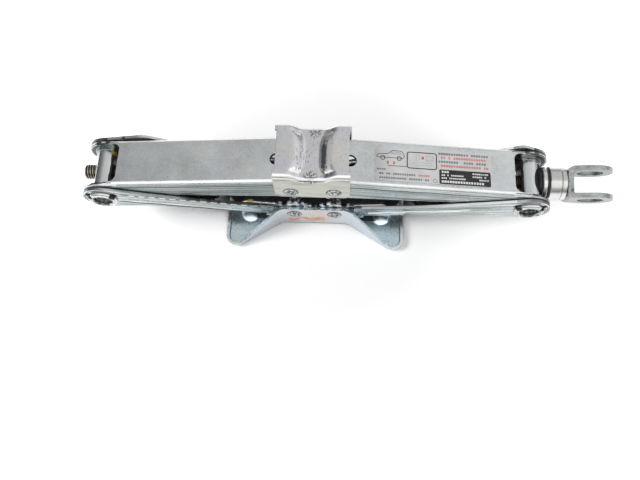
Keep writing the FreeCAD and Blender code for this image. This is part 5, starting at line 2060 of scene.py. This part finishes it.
    def _line_piece(self, shape: Outline, place: Matrix) -> Piece:
        """Make a printed outline or a filled block.

        Args:
            shape: What to print.
            place: The sticker's frame.

        Returns:
            The printed piece.
        """
        bm = bmesh.new()
        outer = shape.outer()
        ring = [bm.verts.new(metres((p.x, p.y, self.lift))) for p in outer]
        if shape.filled:
            bm.faces.new(ring)
        else:
            Workshop.skin(bm, ring, [bm.verts.new(metres((p.x, p.y, self.lift))) for p in shape.inner(outer)])
        bmesh.ops.transform(bm, matrix=place, verts=bm.verts)
        return Workshop.keep(bm, "sticker_" + shape.name)

    @staticmethod
    def _bar_tree() -> Tree:
        """One row of blocks of uneven width with gaps between groups, like words without letters.

        Returns:
            The geometry-node tree.
        """
        g = FieldGraph("Printed row", dict(Count=5, Step=0.005, Height=0.001, Kept=0.9, Narrow=0.5, Wide=0.9,
                                           Seed=0))
        _, count, step, height, kept, narrow, wide, seed, _ = g.given()
        row = g.fill(g.add("GeometryNodeMeshLine", mode="OFFSET"), Count=count,
                     Start_Location=g.join(g.times(step, 0.5), g.times(height, 0.5)), Offset=g.join(step))
        size = g.join(g.times(g.draw(narrow, wide, seed), step), height, 1.0)
        chosen = g.math("LESS_THAN", g.draw(0.0, 1.0, g.math("ADD", seed, 40.0)), kept)
        placed = g.fill(g.add("GeometryNodeInstanceOnPoints"), Points=row.outputs["Mesh"], Selection=chosen,
                        Instance=g.grid(2, 2), Scale=size)
        g.finish(placed.outputs[0])
        return g.tree


# ---- Studio ----


@dataclass
class Lamp:
    """A square or oblong soft lamp that looks at the jack, in metres and watts."""

    name: str
    place: Point
    power: float
    wide: float
    high: float

    def build(self) -> None:
        """Add the lamp to the scene, out of sight of polished metal."""
        data = bpy.data.lights.new(self.name, "AREA")
        data.shape = "RECTANGLE"
        data.size = self.wide
        data.size_y = self.high
        data.energy = self.power
        lamp = bpy.data.objects.new(self.name, data)
        lamp.matrix_world = (Matrix.Translation(self.place)
                             @ Vector(self.place).to_track_quat("Z", "Y").to_matrix().to_4x4())
        lamp.visible_glossy = False
        bpy.context.scene.collection.objects.link(lamp)


@dataclass
class Studio:
    """Pale floor, soft lamps, surroundings and the camera."""

    floor_size: float = 8.0
    floor_colour: Colour = (0.86, 0.86, 0.865)
    near_lift: float = 0.16
    far_lift: float = 0.7
    shadow_reach: float = 0.045
    # Strength of the shadow painted beneath the middle of the jack.
    painted_shadow_depth: float = 0.95
    fill: float = 0.24
    ceiling: float = 0.75
    tones: tuple[Pair, ...] = (
        (0.1, 0.2), (0.22, 0.38), (0.28, 0.56), (0.32, 0.65), (0.353, 0.72), (0.47, 0.75), (0.6, 0.78),
        (0.68, 0.84), (0.85, 1.0))
    lamps: tuple[Lamp, ...] = (Lamp("Key lamp", (-1.75, -0.1, 1.45), 46.0, 0.9, 0.9),
                               Lamp("Overhead lamp", (0.15, -1.03, 1.94), 12.0, 2.4, 1.1))
    azimuth: float = 7.131198
    elevation: float = 69.833731
    roll: float = -5.006090
    target: Point = (6.3309, -51.1581, 40.0)
    distance: float = 531.9
    sensor: float = 36.0
    lens: float = 36.0 * 700.0 / 640.0

    def build(self) -> None:
        """Make the floor, the light and the camera."""
        half = self.floor_size / 2.0
        mesh = bpy.data.meshes.new("floor")
        mesh.from_pydata([(x, y, 0.0) for x, y in rectangle(-half, -half, half, half)], [], [(0, 1, 2, 3)])
        floor = Workshop.link("floor", mesh)
        Workshop.dress(floor, self._floor_paint())
        self._surroundings()
        for lamp in self.lamps:
            lamp.build()
        self._camera()
        bpy.context.scene.view_settings.view_transform = "Standard"
        LOG.info("studio ready")

    def _floor_paint(self) -> Material:
        """Matt pale paint that the camera sees as white, with the shadow kept. A shadow is painted beneath
        the middle of the jack, and the paint and its glow darken near the jack and where ambient occlusion
        finds the floor hidden: painted shade.

        Returns:
            The material.
        """
        material, g, shader = plain_material("Pale floor")
        hidden = g.fill(g.add("ShaderNodeAmbientOcclusion", samples=8), Distance=self.shadow_reach)
        x, y, _ = g.split(g.add("ShaderNodeTexCoord").outputs["Object"])
        x = g.math("ABSOLUTE", x)
        # Painted shadow beneath the middle of the jack.
        shaded = g.times(g.span(y, -0.018, 0.002, smooth=True), g.span(y, 0.036, 0.014, smooth=True))
        painted_shadow = g.times(g.span(x, 0.1, 0.068, smooth=True), shaded)
        clear = g.math("SUBTRACT", 1.0, g.times(painted_shadow, self.painted_shadow_depth))
        open_air = g.times(g.span(hidden.outputs["AO"], 0.26, 0.52, smooth=True), clear)
        away = g.math("SQRT", g.math("ADD", g.times(x, x), g.times(y, y)))
        # Glow weaker near the jack: painted shade round it.
        lift = g.math("ADD", g.span(away, 0.09, 0.22, self.near_lift, self.far_lift, smooth=True),
                      g.span(away, 0.4, 2.0, to_high=0.3, smooth=True))
        path = g.add("ShaderNodeLightPath")
        seen = g.math("MAXIMUM", path.outputs["Is Camera Ray"], path.outputs["Is Glossy Ray"])
        # Paint darkened where ambient occlusion finds the floor hidden: painted contact shade.
        low = g.span(hidden.outputs["AO"], 0.2, 0.45, to_low=0.04, smooth=True)
        g.fill(shader, Base_Color=g.scaled(self.floor_colour, g.times(low, clear)), Roughness=0.9,
               Specular_IOR_Level=0.1, Emission_Color=(1.0, 1.0, 1.0),
               Emission_Strength=g.times(g.times(seen, open_air), lift))
        return material

    def _surroundings(self) -> None:
        """White behind the floor, and a room with a soft gradient for polished metal."""
        world = bpy.data.worlds.new("Surroundings")
        world.use_nodes = True
        g = Graph(world.node_tree)
        x, y, z = g.split(g.add("ShaderNodeTexCoord").outputs["Generated"])
        sides = g.ramp(g.span(x, -1.0, 1.0), [(place, (tone, tone, tone)) for place, tone in self.tones])
        front = g.span(y, 0.1, -0.6, to_low=1.0, to_high=0.7, smooth=True)
        low = g.span(z, 0.05, 0.45, to_low=0.3, smooth=True)
        lean = g.math("DIVIDE", g.times(y, -1.0), g.math("MAXIMUM", z, 0.05))
        panel = g.times(g.span(lean, -0.05, 0.12, smooth=True), g.span(lean, 1.5, 1.15, smooth=True))
        room = g.math("ADD", g.times(g.times(sides, front), low), g.times(panel, self.ceiling))
        path = g.add("ShaderNodeLightPath")
        shown = g.math("MAXIMUM", path.outputs["Is Camera Ray"], path.outputs["Is Transmission Ray"])
        light = g.toward(path.outputs["Is Glossy Ray"], self.fill, room)
        g.fill(world.node_tree.nodes["Background"], Color=(1.0, 1.0, 1.0),
               Strength=g.toward(shown, light, 1.0))
        bpy.context.scene.world = world

    def _camera(self) -> None:
        """Camera that looks down at the jack from the front, slightly rolled."""
        az, el, roll = (math.radians(a) for a in (self.azimuth, self.elevation, self.roll))
        back = Vector((math.sin(az) * math.cos(el), -math.cos(az) * math.cos(el), math.sin(el)))
        right = (-back).cross(Vector((0.0, 0.0, 1.0))).normalized()
        up = right.cross(-back)
        cam_x = math.cos(roll) * right + math.sin(roll) * up
        cam_y = -math.sin(roll) * right + math.cos(roll) * up
        spot = Vector(self.target) * MM + back * self.distance * MM
        data = bpy.data.cameras.new("Camera")
        data.sensor_width = self.sensor
        data.lens = self.lens
        camera = bpy.data.objects.new("Camera", data)
        camera.matrix_world = Matrix((*zip(cam_x, cam_y, back, spot), (0.0, 0.0, 0.0, 1.0)))
        bpy.context.scene.collection.objects.link(camera)
        bpy.context.scene.camera = camera


def main() -> None:
    """Build the studio, dress every node and add the pieces that the solids leave out."""
    logging.basicConfig(level=logging.INFO, format="%(name)s: %(message)s")
    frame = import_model()
    Studio().build()
    effects = SurfaceEffects()
    SheetParts(frame, effects).dress()
    SaddleShell(effects).build()
    PinsAndTrunnions(frame, effects).dress()
    ThrustStack(frame, effects).dress()
    ThreadedScrew(effects).build()
    Clevis(frame, effects).dress()
    Sticker(frame, effects).build()


if __name__ == "__main__":
    main()
